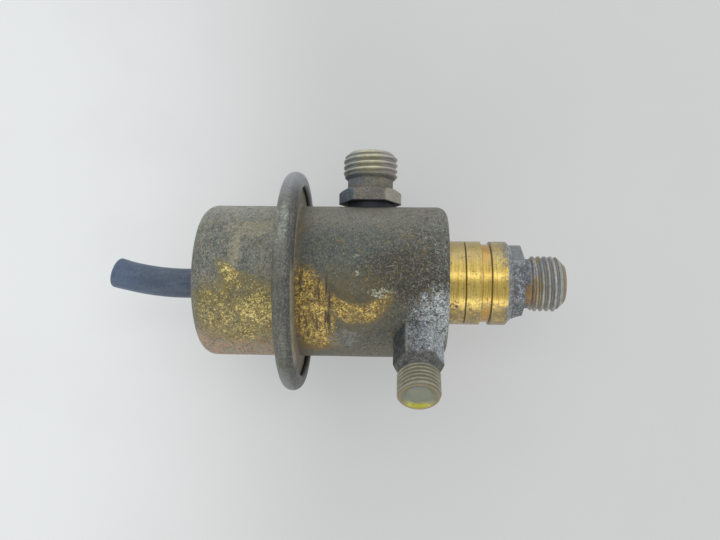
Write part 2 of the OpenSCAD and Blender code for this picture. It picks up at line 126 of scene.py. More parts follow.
# %% Section helpers
SAME_POINT = 1e-6


def arc(x, r, radius, start, end, steps=12):
    """Circle arc in the (x, r) plane: centre + radius (cos a, sin a), a from start to end in degrees."""
    a = np.radians(np.linspace(start, end, steps + 1))
    return np.stack([x + radius * np.cos(a), r + radius * np.sin(a)], axis=1)


def section(*stretches, step):
    """Joins points and arcs to a closed loop, and adds points so that none lie further apart than step."""
    corners = np.concatenate([np.atleast_2d(np.asarray(s, float)) for s in stretches])
    corners = np.concatenate([corners, corners[:1]])
    gaps = np.hypot(*np.diff(corners, axis=0).T)
    parts = np.maximum(np.ceil(gaps / step), 1).astype(int)
    first = np.repeat(np.arange(len(parts)), parts)
    share = (np.arange(parts.sum()) - np.repeat(np.cumsum(parts) - parts, parts)) / np.repeat(parts, parts)
    points = corners[first] + share[:, None] * (corners[first + 1] - corners[first])
    apart = np.hypot(*(points - np.roll(points, 1, axis=0)).T) > SAME_POINT
    return points[apart]


def turned(points, columns):
    """Surface of revolution about X: P(i, j) = (x_i, r_i sin a_j, r_i cos a_j), a_j even round the axis."""
    a = 2 * np.pi * np.arange(columns) / columns
    x, r = points[:, :1], points[:, 1:]
    return np.stack(np.broadcast_arrays(x, r * np.sin(a), r * np.cos(a)), axis=-1)


print("a quarter arc has", len(arc(0, 0, 1, 0, 90)), "points")

# %% [markdown]
# ## From a grid of points to a piece
#
# A grid that wraps both ways closes on itself like a ring, so it has no open seam or pole. A grid that
# wraps one way is a bar, and one face closes each of its ends. The helper below turns either grid into a
# mesh. The sign of its volume tells whether the faces look inwards, and if so they are turned round.
# Faces are shaded smooth, and edges sharper than an angle stay crisp, as machined edges do.

# %% Make a piece from a grid
SHARP = math.radians(32)
pieces = []


def grid_faces(rows, columns, bar):
    """Quads (i, j), (i+1, j), (i+1, j+1), (i, j+1) of a grid that wraps both ways, or of a bar."""
    here = np.arange(rows * columns).reshape(rows, columns)
    down = np.roll(here, -1, axis=0)
    quads = np.stack([here, down, np.roll(down, -1, axis=1), np.roll(here, -1, axis=1)], axis=-1)
    if bar:
        return [*quads[:-1].reshape(-1, 4), here[0], here[-1, ::-1]]
    return quads.reshape(-1, 4)


def grid_mesh(name, grid, bar=False, **marks):
    """Closed mesh from a (rows, columns, 3) grid in millimetres. A mark is a value for each point."""
    mesh = bpy.data.meshes.new(name)
    mesh.from_pydata(grid.reshape(-1, 3) * MM, [], grid_faces(*grid.shape[:2], bar))
    solid = bmesh.new()
    solid.from_mesh(mesh)
    if solid.calc_volume(signed=True) < 0:
        mesh.flip_normals()
    solid.free()
    for mark, values in marks.items():
        kept = mesh.attributes.new(mark, "FLOAT", "POINT")
        kept.data.foreach_set("value", np.ascontiguousarray(values, np.float32).ravel())
    return mesh


def add_piece(name, mesh, node, slot, stretch=None):
    """Puts a mesh into the scene in place of a solid. Without stretch it rides on the fixed housing; with
    stretch its place is baked into its mesh and it rides on no body. The points in stretch are not used."""
    mesh.shade_smooth()
    mesh.set_sharp_from_angle(angle=SHARP)
    piece = bpy.data.objects.new(name, mesh)
    bpy.context.scene.collection.objects.link(piece)
    if stretch is None:
        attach(piece, "housing")
    else:
        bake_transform(piece)
    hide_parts(node)
    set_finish(piece, slot)
    pieces.append(piece)
    print(f"{name}: {len(mesh.polygons)} faces")


# %% [markdown]
# ## Sheet that is not quite true
#
# Drawn sheet keeps faint waves from the press and from years of handling. They hardly move the outline,
# but they bend the highlights, which is what makes metal look real. A few cosine waves round and along
# the wall are enough. A displace modifier would also do it, but here the waves are part of the formula
# and need no texture. The skin lies a little inside the solid, so that no wave stands out past it.

# %% Waves in a drawn wall
WAVE_ROOM = 0.05
WAVE_DEPTH = 0.02


def waves(grid, depth, seed, count=14):
    """Sum of cosine waves over (x, angle), each cos(k x + n angle + phase), scaled to about depth
    millimetres. k, n and the phase are drawn at random from a fixed seed."""
    rng = np.random.default_rng(seed)
    x = grid[..., 0]
    angle = np.arctan2(grid[..., 1], grid[..., 2])
    along = rng.uniform(-0.7, 0.7, count)
    turns = rng.integers(1, 9, count)
    phases = rng.uniform(0, 6.3, count)
    total = np.zeros(x.shape)
    for k, n, phase in zip(along, turns, phases):
        total += np.cos(k * x + n * angle + phase)
    return depth * total / math.sqrt(count)


def pushed_out(grid, amount):
    """Moves each point away from the X axis by an amount in millimetres."""
    radius = np.hypot(grid[..., 1], grid[..., 2])
    scale = 1 + amount / radius
    return grid * np.stack([np.ones_like(scale), scale, scale], axis=-1)


print(f"waves of about {WAVE_DEPTH} mm in a room of {WAVE_ROOM} mm")

# %% [markdown]
# ## The spring housing and its rolled rim
#
# This cup was drawn from sheet, and then its edge was rolled round the other cup's flange, so one sheet
# runs from the closed end to the lip. The section follows that sheet: out along the end, round the
# corner, along the band, out into the flange, round the curl, and back on the inside. Modelling it as a
# solid of revolution with a separate ring would be quicker, but the slit under the lip would be lost, and
# that slit is the dark line beside the rim. The nipple's hole is a little beside the axis, so the end is
# drawn over towards it.

# %% Spring housing
HOUSING_COLUMNS = 240
nipple_r = 2.3
nipple_y = sum(box_mm("vacuum_nipple"))[1] / 2
lip_r = 24.0
corner_r = -band_half - cup_low[0]
corner_c = housing_r - corner_r
root_c = housing_r + root_r
flange_x = band_half + root_r
rim_half = (cup_high[0] - flange_x) / 2
rim_x = flange_x + rim_half
curl_c = rim_r - rim_half
lip_in = cup_high[0] - sheet

cup_section = section(
    (cup_low[0], nipple_r),
    arc(-band_half, corner_c, corner_r, 180, 90),
    arc(band_half, root_c, root_r, 270, 360),
    arc(rim_x, curl_c, rim_half, 180, 0, 36),
    arc(lip_in + sheet / 2, lip_r + sheet / 2, sheet / 2, 0, -180),
    arc(rim_x, curl_c, rim_half - sheet, 0, 180, 24),
    arc(band_half, root_c, root_r + sheet, 360, 270),
    arc(-band_half, corner_c, corner_r - sheet, 90, 180),
    (cup_low[0] + sheet, nipple_r), step=0.45)
cup_grid = turned(cup_section, HOUSING_COLUMNS)
from_axis = np.hypot(cup_grid[..., 1], cup_grid[..., 2])
near_hole = np.clip((corner_c - from_axis) / (corner_c - nipple_r), 0, 1)
cup_grid[..., 1] += nipple_y * near_hole
cup_grid = pushed_out(cup_grid, waves(cup_grid, WAVE_DEPTH, seed=3) - WAVE_ROOM)
add_piece("cup_skin", grid_mesh("cup_skin", cup_grid), "spring_housing", "cup_steel")

# %% [markdown]
# ## The fuel housing's wall
#
# The second cup is drawn the same way, and its end has a hole for the bush, which the section gives. A
# shallow scratch runs round the front of the wall, where a clamp has been. It could be painted on, but as
# a dip in the radius it catches light and dirt as a real scratch does.

# %% Fuel housing wall
fuel_corner_r = 2.7
spigot_hole_r = 8.0
scratch_x = 21.0
scratch_w = 0.35
scratch_depth = 0.12
scratch_from, scratch_to = -58.0, 2.0
fade_in, fade_out = 9, 6  # degrees over which the scratch begins and ends

fuel_bend = fuel_low[0] + sheet + root_r
fuel_corner_x = fuel_high[0] - fuel_corner_r
fuel_corner_c = housing_r - fuel_corner_r
fuel_section = section(
    (fuel_high[0], spigot_hole_r),
    arc(fuel_corner_x, fuel_corner_c, fuel_corner_r, 0, 90),
    arc(fuel_bend, root_c, root_r, 270, 180),
    (fuel_low[0] + sheet, curl_c), (fuel_low[0], curl_c),
    arc(fuel_bend, root_c, root_r + sheet, 180, 270),
    arc(fuel_corner_x, fuel_corner_c, fuel_corner_r - sheet, 90, 0),
    (fuel_high[0] - sheet, spigot_hole_r), step=0.4)
fuel_grid = turned(fuel_section, HOUSING_COLUMNS)
fuel_angle = np.degrees(np.arctan2(fuel_grid[..., 1], fuel_grid[..., 2]))
begun = np.clip((fuel_angle - scratch_from) / fade_in, 0, 1)
not_ended = np.clip((scratch_to - fuel_angle) / fade_out, 0, 1)
scratch = np.exp(-(((fuel_grid[..., 0] - scratch_x) / scratch_w) ** 2)) * (begun * not_ended)
fuel_waves = waves(fuel_grid, WAVE_DEPTH, seed=8)
fuel_grid = pushed_out(fuel_grid, fuel_waves - WAVE_ROOM - scratch_depth * scratch)
print("fuel housing wall:", fuel_grid.shape[0], "rows,", fuel_grid.shape[1], "columns")

# %% [markdown]
# ### Holes for the two unions in its side
#
# The unions' spigots pass through the wall, and a grid has no natural place for a round hole across it.
# So each hole is cut by a round bar with a Boolean. The modifiers could stay live, but then the bars
# would have to stay in the scene too. Here the cut mesh is kept and the bars are thrown away.

# %% Cut the holes
inlet_mid, inlet_axis, inlet_thread_r, inlet_half = mount_mm("inlet_port")
branch_mid, branch_axis, branch_thread_r, branch_half = mount_mm("branch_port")
inlet_spigot_r = 5.8
branch_spigot_r = 4.4


def drill(name, middle, axis, radius, length, sides=96):
    """Round bar for cutting a hole: rings of one radius at both ends of a stretch of the axis."""
    side = np.cross(axis, (1.0, 0.0, 0.0))
    a = 2 * np.pi * np.arange(sides) / sides
    ring = np.cos(a)[:, None] * np.array([1.0, 0.0, 0.0]) + np.sin(a)[:, None] * side
    reach = np.array([0.0, length])[:, None, None] * axis
    bar = bpy.data.objects.new(name, grid_mesh(name, middle + reach + radius * ring, bar=True))
    bpy.context.scene.collection.objects.link(bar)
    return bar


def cut_away(mesh, bars):
    """Cuts bars out of a mesh with exact Booleans, and returns the cut mesh. The bars are deleted."""
    blank = bpy.data.objects.new("blank", mesh)
    bpy.context.scene.collection.objects.link(blank)
    for bar in bars:
        step = blank.modifiers.new("hole", "BOOLEAN")
        step.operation = "DIFFERENCE"
        step.solver = "EXACT"
        step.object = bar
    result = bpy.data.meshes.new_from_object(blank.evaluated_get(bpy.context.evaluated_depsgraph_get()))
    for spare in (blank, *bars):
        bpy.data.objects.remove(spare)
    return result


holes = [drill("inlet_hole", inlet_mid * (1, 0, 0), inlet_axis, inlet_spigot_r, 2 * housing_r),
         drill("branch_hole", branch_mid * (1, 0, 0), branch_axis, branch_spigot_r, 2 * housing_r)]
fuel_mesh = cut_away(grid_mesh("fuel_skin", fuel_grid), holes)
add_piece("fuel_skin", fuel_mesh, "fuel_housing", "fuel_steel")

# %% [markdown]
# ## The plated bush
#
# The bush was turned from bar and plated yellow. A scribed line and a groove run round it, and the tool
# left fine rings. The line and the groove are in the section, and the fine rings are a ripple of a few
# thousandths of a millimetre along x. They could be bump alone, but real ripples also break up the
# outline of a highlight.

# %% Return bush
BUSH_COLUMNS = 180
RIPPLES = [(0.004, 0.62, 0.0), (0.003, 0.43, 1.0)]  # height and length in millimetres, and phase
tube_r = 4.5
return_spigot_r = 7.0
return_seat_x = bush_high[0] - 7.0
bush_r = bush_high[2]
bush_chamfer = 1.1
groove_from, groove_to = fuel_high[0] + 8.3, fuel_high[0] + 10.5
groove_r = bush_r - 0.7
line_x, line_half = fuel_high[0] + 4.3, 0.2
edge = 0.12

bush_section = section(
    (fuel_high[0], spigot_hole_r), (fuel_high[0], bush_r - edge), (fuel_high[0] + edge, bush_r),
    (line_x - line_half, bush_r), (line_x, bush_r - line_half), (line_x + line_half, bush_r),
    (groove_from - edge, bush_r), (groove_from, bush_r - edge), (groove_from, groove_r),
    (groove_to, groove_r), (groove_to, bush_r - edge), (groove_to + edge, bush_r),
    (bush_high[0] - bush_chamfer, bush_r), (bush_high[0], bush_r - bush_chamfer),
    (bush_high[0], return_spigot_r), (return_seat_x, return_spigot_r), (return_seat_x, tube_r),
    (bush_low[0], tube_r), (bush_low[0], spigot_hole_r), step=0.11)
bush_grid = turned(bush_section, BUSH_COLUMNS)
ripple_x = 2 * np.pi * bush_grid[..., 0]
ripple = sum(height * np.sin(ripple_x / length + phase) for height, length, phase in RIPPLES)
add_piece("bush_skin", grid_mesh("bush_skin", pushed_out(bush_grid, ripple)), "return_bush", "bush_plated")

# %% [markdown]
# ## Unions with cut threads
#
# Each union is a hexagon with a neck and a male thread, and its mouth is a cone that a pipe seals on. The
# skin is a grid of height and radius round the union's own axis. On the hexagon, the radius is that of a
# hexagon at each angle, cut down by the chamfer's cone. On the thread, it is the smaller of the turned
# blank and a V groove that climbs one pitch in each turn. So the groove runs out over the chamfer and the
# neck, as a cut thread does. A screw modifier makes threads as well, but it would need joining to the
# hexagon, and the run-out would be lost.

# %% Thread and hexagon formulas
FLAT_HALF = math.pi / 6
BLUNT = 0.985
CREST = 0.12  # share of half a pitch that is flat at the crest, and again at the root
FLANK = 1 - 2 * CREST


def hexagon(angle, corner_r):
    """Radius of a hexagon: corner_r cos(30) / cos(a), a from the nearest flat, with blunt corners."""
    from_flat = np.mod(angle, 2 * FLAT_HALF) - FLAT_HALF
    return np.minimum(corner_r * math.cos(FLAT_HALF) / np.cos(from_flat), BLUNT * corner_r)


def smooth(t):
    """Smooth step 3 t^2 - 2 t^3, held at 0 and 1."""
    t = np.clip(t, 0, 1)
    return t * t * (3 - 2 * t)


def groove_share(height, angle, pitch):
    """How deep the thread is cut, from 0 on its crest to 1 in its root, along a right-hand helix."""
    turn = np.mod(height / pitch - angle / (2 * np.pi), 1.0)
    from_crest = 1 - np.abs(2 * turn - 1)
    return smooth((from_crest - CREST) / FLANK)


print(f"20 mm over corners is {2 * hexagon(FLAT_HALF, 10.0):.2f} mm over flats")

# %% [markdown]
# ### One function for all three unions
#
# The rows of the grid run from the inner end out over the spigot, hexagon, neck and thread, and back
# through the seat and the bore. Four marks are kept on the points for the finish to use: how deep in the
# thread a point lies, since dirt stays there; how near it is to a corner of the hexagon, where plating
# wears off first and a highlight is painted; whether it is inside the mouth; and how far along the union
# it is.

# %% Union surface
UNION_COLUMNS = 192
TAN_30 = math.tan(math.radians(30))
THREAD_DEPTH = 0.42     # in pitches
RUN_OUT = 0.8           # in pitches
STEM_STEP = 0.07
WORN_FROM, WORN_OVER = 0.955, 0.03  # shares of the corner's radius
BATTERED_HALF = 0.22    # in radians
BATTERED_FOOT = 0.4     # share of the wear at the hexagon's foot


def steps(count):
    """Column of shares 0, 1/count ... up to the last one before 1."""
    return (np.arange(count) / count)[:, None]


def union_surface(inner, spigot_r, base, hex_top, corner_r, face, face_r, neck_r, thread_from, thread_r,
                  pitch, tip, chamfer, mouth_r, bores, seat_slope=TAN_30, saddle_r=None, wear=(0.0, 0.0)):
    """Height and radius grids of a union, with its marks and angle. base is where the hexagon sits, flat
    or on a cylinder of saddle_r, and bores lists (radius, height down to which it runs) from the seat
    inwards. wear is the angle of a battered corner and how deep it is worn at the hexagon's top."""
    angle = 2 * np.pi * np.arange(UNION_COLUMNS)[None, :] / UNION_COLUMNS
    flat = hexagon(angle, corner_r)
    corner = smooth((flat / corner_r - WORN_FROM) / WORN_OVER)
    battered = wear[1] * np.exp(-((angle - wear[0]) / BATTERED_HALF) ** 2)
    rows = []

    def add(height, radius, root=0.0, worn=0.0, inside=0.0):
        rows.append(np.stack(np.broadcast_arrays(height, radius, root, worn, inside, angle)))

    def seat_height(radius):
        return base if saddle_r is None else np.sqrt(saddle_r ** 2 - (radius * np.sin(angle)) ** 2)

    # spigot, the hexagon's underside, its flats, its chamfer and the face round the neck
    add(inner + steps(8) * (seat_height(spigot_r) - inner), spigot_r)
    under = spigot_r + steps(6) * (flat - BATTERED_FOOT * battered - spigot_r)
    add(seat_height(under), under)
    up = steps(20)
    add(seat_height(flat) + up * (hex_top - seat_height(flat)),
        flat - (BATTERED_FOOT + (1 - BATTERED_FOOT) * up) * battered, worn=corner)
    cone = corner_r + up * (face_r - corner_r)
    add(hex_top + up * (face - hex_top), np.minimum(flat - battered, cone), worn=corner * (1 - up))
    if face_r > neck_r:
        edge_r = np.minimum(flat - battered, face_r)
        add(face, edge_r + steps(5) * (neck_r - edge_r))

    # neck and thread
    height = face + steps(int((tip - face) / STEM_STEP)) * (tip - face)
    run_out = thread_from - (thread_r - neck_r)
    blank = np.interp(height, [run_out, thread_from, tip - chamfer, tip],
                      [neck_r, thread_r, thread_r, thread_r - chamfer])
    share = groove_share(height, angle, pitch) * smooth((height - run_out) / (RUN_OUT * pitch))
    radius = np.minimum(blank, thread_r - THREAD_DEPTH * pitch * share)
    add(height, radius, root=share)

    # end face, seat, bores and the inner end
    end_r = np.minimum(thread_r - chamfer, radius[-1:])
    add(tip, end_r + steps(4) * (mouth_r - end_r))
    bore_r = bores[0][0]
    seat_depth = (mouth_r - bore_r) / seat_slope
    add(tip - steps(16) * seat_depth, mouth_r + steps(16) * (bore_r - mouth_r), inside=1.0)
    top = tip - seat_depth
    for bore_r, bottom in bores:
        add(top + steps(12) * (bottom - top), bore_r, inside=1.0)
        top = bottom
    add(inner, bores[-1][0] + steps(4) * (spigot_r - bores[-1][0]))
    return np.concatenate(rows, axis=1)


def place_union(name, surface, origin, axis, corner_way, node, slot):
    """Carries a union's grid to its port: origin + h axis + r (cos a, sin a) on two sides of the axis."""
    height, radius, root, worn, inside, angle = surface
    other = np.cross(axis, corner_way)
    sides = np.cos(angle)[..., None] * corner_way + np.sin(angle)[..., None] * other
    grid = origin + height[..., None] * axis + radius[..., None] * sides
    add_piece(name, grid_mesh(name, grid, root=root, worn=worn, inside=inside, along=height), node, slot)


# %% [markdown]
# ### The inlet
#
# The inlet's hexagon stands clear of the wall on its spigot, and its chamfer runs down to the neck. The
# function above takes all of that as heights along the union's own axis, which starts on the part's axis.
# The hexagon is turned so that a corner points along x.

# %% Inlet union
LARGE_PITCH = 1.5
MOUTH_EDGE = 0.3  # flat ring between the thread's chamfer and the mouth
along_x = np.array([1.0, 0.0, 0.0])
inner_end = housing_r - sheet - 1.0
inlet_low, inlet_high = box_mm("inlet_fitting")
inlet_corner = (inlet_high[0] - inlet_low[0]) / 2
inlet_base = housing_r + 0.8
inlet_hex_top = inlet_base + 2.7
inlet_bore_r = mount_mm("inlet_bore")[2]
inlet_thread_to = inlet_mid[1] + inlet_half
inlet_chamfer = inlet_high[1] - inlet_thread_to
inlet_surface = union_surface(
    inner=inner_end, spigot_r=inlet_spigot_r, base=inlet_base, hex_top=inlet_hex_top,
    corner_r=inlet_corner, face=inlet_hex_top + (inlet_corner - inlet_spigot_r) * TAN_30,
    face_r=inlet_spigot_r, neck_r=inlet_spigot_r, thread_from=inlet_mid[1] - inlet_half,
    thread_r=inlet_thread_r, pitch=LARGE_PITCH, tip=inlet_high[1], chamfer=inlet_chamfer,
    mouth_r=inlet_thread_r - inlet_chamfer - MOUTH_EDGE, bores=[(inlet_bore_r, inner_end)])
place_union("inlet_union", inlet_surface, inlet_mid * (1, 0, 0), inlet_axis, along_x,
            "inlet_fitting", "inlet_steel")

# %% [markdown]
# ### The branch
#
# The branch's hexagon sits right on the wall, so its lower edge follows the housing's curve, which the
# saddle radius gives. A flat-bottomed mouth would be simpler, but the real one is a shallow cone over a
# short bore whose floor is the strainer. The strainer is a solid of its own and stays as it is.

# %% Branch union
SMALL_PITCH = 1.0
MOUTH_SLOPE = math.tan(math.radians(60))
SHOULDER_SLOPE = math.tan(math.radians(50))
branch_low, branch_high = box_mm("branch_fitting")
branch_corner = (branch_high[0] - branch_low[0]) / 2
branch_hex_top = housing_r + 7.7
branch_out = float(branch_mid @ branch_axis)
branch_chamfer = 0.5
branch_bore_r = 2.25
strainer_r = 2.9
strainer_in = 0.5
branch_tip = branch_out + branch_half + branch_chamfer
branch_mouth_r = branch_thread_r - branch_chamfer - MOUTH_EDGE
strainer_floor = branch_tip - (branch_mouth_r - strainer_r) / MOUTH_SLOPE - strainer_in
branch_surface = union_surface(
    inner=inner_end, spigot_r=branch_spigot_r, base=housing_r, hex_top=branch_hex_top,
    corner_r=branch_corner, face=branch_hex_top + (branch_corner - branch_spigot_r) * SHOULDER_SLOPE,
    face_r=branch_spigot_r, neck_r=branch_spigot_r, thread_from=branch_out - branch_half,
    thread_r=branch_thread_r, pitch=SMALL_PITCH, tip=branch_tip, chamfer=branch_chamfer,
    mouth_r=branch_mouth_r, bores=[(strainer_r, strainer_floor), (branch_bore_r, inner_end)],
    seat_slope=MOUTH_SLOPE, saddle_r=housing_r)
place_union("branch_union", branch_surface, branch_mid * (1, 0, 0), branch_axis, along_x,
            "branch_fitting", "branch_steel")

# %% [markdown]
# ### The return
#
# The return's hexagon sits square on the end of the bush, turned by some degrees, and one of its corners
# is battered. Its bore has a step where the inner tube ends. The heights here start at the end of the
# bush.

# %% Return union
return_mid, return_axis, return_thread_r, return_half = mount_mm("return_port")
return_low, return_high = (corner[0] - bush_high[0] for corner in box_mm("return_fitting"))
return_out = return_mid[0] - bush_high[0]
return_flats = 17
return_corner = return_flats / 2 / math.cos(FLAT_HALF)
return_face_r = return_corner - 0.4
return_face = 2.95
return_neck_r = 6.2
return_chamfer = return_high - return_out - return_half
return_turn = math.radians(28)
return_wear = (math.radians(120), 1.5)
tube_end = box_mm("return_tube")[1][0] - bush_high[0]
return_surface = union_surface(
    inner=return_low, spigot_r=return_spigot_r, base=0.0,
    hex_top=return_face - (return_corner - return_face_r) * TAN_30, corner_r=return_corner,
    face=return_face, face_r=return_face_r, neck_r=return_neck_r, thread_from=return_out - return_half,
    thread_r=return_thread_r, pitch=LARGE_PITCH, tip=return_high, chamfer=return_chamfer,
    mouth_r=return_thread_r - return_chamfer - MOUTH_EDGE,
    bores=[(mount_mm("return_bore")[2], tube_end), (tube_r, return_low)], wear=return_wear)
place_union("return_union", return_surface, bush_high[0] * along_x, return_axis,
            np.array([0.0, math.sin(return_turn), math.cos(return_turn)]), "return_fitting", "return_steel")

# %% [markdown]
# ## The hose stub
#
# A short piece of rubber hose was cut off and left on its nipple. Its skin is a section of (distance,
# radius) carried along a path: straight over the nipple, then an arc. The section runs along the outside,
# round the softened cut edge and back through the bore. A curve with a bevel would be less work, but it
# has no bore and no soft edge.

# %% Vacuum hose
HOSE_COLUMNS = 96
hose_r = 3.75
hose_bore_r = 1.9
hose_lead = 5.0
hose_bend_r = 66.0
hose_bend = math.radians(16.4)
hose_len = hose_lead + hose_bend_r * hose_bend
hose_soft = 0.85
bore_soft = 0.3
hose_flare, flare_len = 0.12, 4.0
nipple_len = 4.5


def carried(points, columns):
    """Carries (s, r) along the hose's path in the XY plane: centre(s) + r (cos a side(s) + sin a up)."""
    s, r = points[:, :1], points[:, 1:]
    turn = np.clip((s - hose_lead) / hose_bend_r, 0, None)
    lead = np.minimum(s, hose_lead)
    centre_x = cup_low[0] - lead - hose_bend_r * np.sin(turn)
    centre_y = nipple_y + hose_bend_r * (1 - np.cos(turn))
    a = 2 * np.pi * np.arange(columns) / columns
    x = centre_x - r * np.cos(a) * np.sin(turn)
    y = centre_y - r * np.cos(a) * np.cos(turn)
    return np.stack(np.broadcast_arrays(x, y, r * np.sin(a)), axis=-1)


hose_section = section(
    (0.0, hose_r), (hose_len - flare_len, hose_r),
    arc(hose_len - hose_soft, hose_r + hose_flare - hose_soft, hose_soft, 90, 0, 8),
    arc(hose_len - bore_soft, hose_bore_r + bore_soft, bore_soft, 0, -90, 5),
    (nipple_len, hose_bore_r), (nipple_len, nipple_r), (0.0, nipple_r), step=0.3)
hose_grid = carried(hose_section, HOSE_COLUMNS)
add_piece("hose_skin", grid_mesh("hose_skin", hose_grid), "vacuum_hose", "hose_rubber")

# %% [markdown]
# ## The spring that the valve presses
#
# When the valve lifts, its plate presses the main spring against the cup's end. So the spring is wound
# here as a wire with a closed part turn at each end, and it is given two points on its axis near its ends.
# Riding on one body alone, it would stand through the plate when the valve is open.

# %% Main spring
WIRE_STATIONS, WIRE_SIDES = 301, 16
spring_low, spring_high = box_mm("main_spring")
wire_r = 1.2
spring_turns = 5.0
closed_turns = 0.75
closed_gap = 1.06  # rise of a closed turn, in wires
closed_rise = closed_turns * closed_gap * 2 * wire_r
spring_rise = spring_high[0] - spring_low[0] - 2 * wire_r
coil_r = spring_high[1] - wire_r


def wound(t, side):
    """Wire round X: (x + w sin s, r sin 2 pi t, -r cos 2 pi t), with r = R + w cos s and x rising with
    the turns t."""
    rise = np.interp(t, [0, closed_turns, spring_turns - closed_turns, spring_turns],
                     [0, closed_rise, spring_rise - closed_rise, spring_rise])
    r = coil_r + wire_r * np.cos(side)
    x = spring_low[0] + wire_r + rise + wire_r * np.sin(side)
    return np.stack(np.broadcast_arrays(x, r * np.sin(2 * np.pi * t), -r * np.cos(2 * np.pi * t)), axis=-1)


turns_along = np.linspace(0, spring_turns, WIRE_STATIONS)[:, None]
round_wire = 2 * np.pi * np.arange(WIRE_SIDES)[None, :] / WIRE_SIDES
spring_mesh = grid_mesh("spring_coil", wound(turns_along, round_wire), bar=True)
add_piece("spring_coil", spring_mesh, "main_spring", "spring_steel",
          stretch=[(spring_low[0] + 2 * wire_r, 0, 0), (spring_high[0] - 2 * wire_r, 0, 0)])

# %% [markdown]
# ## The diaphragm
#
# The diaphragm is held in the rim at its edge and moves with the valve in its middle, and its fold rolls
# between them. The disc is cut like a cake, and each slice is given two points on its own radius: one
# where the rim holds it and one where its fold ends.

# %% Diaphragm
SLICES = 16
SLICE_STATIONS = 9
_, disc_high = box_mm("diaphragm")
soft_t = 0.9
fold_c = (housing_r - sheet + box_mm("spring_plate")[1][2]) / 2
fold_mid_r = 1.7
fold_in, fold_out = fold_mid_r - soft_t / 2, fold_mid_r + soft_t / 2
fuel_side = disc_high[0]
spring_side = fuel_side - soft_t
neck_r = 3.0
lean = math.degrees(math.asin(soft_t / fold_out))
disc_section = section(
    (spring_side, neck_r), arc(fuel_side, fold_c, fold_out, 270 - lean, 90 + lean, 24),
    (spring_side, disc_high[2]), (fuel_side, disc_high[2]),
    arc(fuel_side, fold_c, fold_in, 90, 270, 24), (fuel_side, neck_r), step=0.6)
disc_x, disc_r = disc_section[:, 0], disc_section[:, 1]
half_slice = math.pi / SLICES
held_r = (housing_r - sheet) * math.cos(half_slice)
free_r = fold_c - fold_out
for number in range(SLICES):
    middle = 2 * half_slice * number
    a = middle + np.linspace(-half_slice, half_slice, SLICE_STATIONS)[:, None]
    slice_grid = np.stack(np.broadcast_arrays(disc_x, disc_r * np.sin(a), disc_r * np.cos(a)), axis=-1)
    name = f"diaphragm_slice_{number + 1:02d}"
    add_piece(name, grid_mesh(name, slice_grid, bar=True), "diaphragm", "diaphragm_rubber",
              stretch=[(fuel_side, r * math.sin(middle), r * math.cos(middle)) for r in (held_r, free_r)])

# %% [markdown]
# ## Shader maths as Python
#
# A material is a tree of nodes, and a formula of ten terms is ten nodes. Placing them by hand is slow to
# write and hard to read. So one small class wraps a socket and overloads the operators: an expression
# such as `1 - mask * grain` adds its own Math nodes. One method makes every other node, settings first
# and sockets after.

# %% Sockets in expressions
class Value:
    """A socket of a node tree that can stand in an expression. Each operator adds one Math node."""

    def __init__(self, owner, socket):
        self.owner = owner
        self.socket = socket

    def maths(self, operation, other=0.0, reflected=False):
        pair = (other, self) if reflected else (self, other)
        return self.owner.node("ShaderNodeMath", {"operation": operation}, {0: pair[0], 1: pair[1]})

    def __add__(self, other):
        return self.maths("ADD", other)

    def __sub__(self, other):
        return self.maths("SUBTRACT", other)

    def __rsub__(self, other):
        return self.maths("SUBTRACT", other, reflected=True)

    def __mul__(self, other):
        return self.maths("MULTIPLY", other)

    def __truediv__(self, other):
        return self.maths("DIVIDE", other)

    def __or__(self, other):
        """The larger of two masks."""
        return self.maths("MAXIMUM", other)

    __radd__ = __add__
    __rmul__ = __mul__

    def ramp(self, low, high):
        """Smooth step from 0 at low to 1 at high; low may be the larger one."""
        return self.owner.node("ShaderNodeMapRange", {"interpolation_type": "SMOOTHSTEP"},
                               {"Value": self, "From Min": low, "From Max": high})

    def also(self, output):
        """Another output of the same node."""
        return Value(self.owner, self.socket.node.outputs[output])


class Nodes:
    """An empty node tree, of a material or of the world."""

    def __init__(self, owner):
        owner.use_nodes = True
        self.tree = owner.node_tree
        self.tree.nodes.clear()

    def node(self, kind, settings=None, inputs=None, output=0):
        """Adds a node: settings are set first, then sockets take values or links. Returns an output."""
        made = self.tree.nodes.new(kind)
        for key, value in (settings or {}).items():
            setattr(made, key, value)
        for key, value in (inputs or {}).items():
            if isinstance(value, Value):
                self.tree.links.new(value.socket, made.inputs[key])
            else:
                made.inputs[key].default_value = (*value, 1.0) if made.inputs[key].type == "RGBA" else value
        return Value(self, made.outputs[output]) if made.outputs else None


# %% [markdown]
# ## A finish and its tools
#
# Each finish works on the piece's own coordinates, in millimetres. Since every piece lies where it does
# on the part, the same coordinates say how far along the axis a point is and how far round it, which is
# how stains are placed. The angle jumps where it closes the circle, so broad changes round the part use
# its sine, which has no seam. Noise of several grain sizes makes the rest: clouds, grains and flecks.

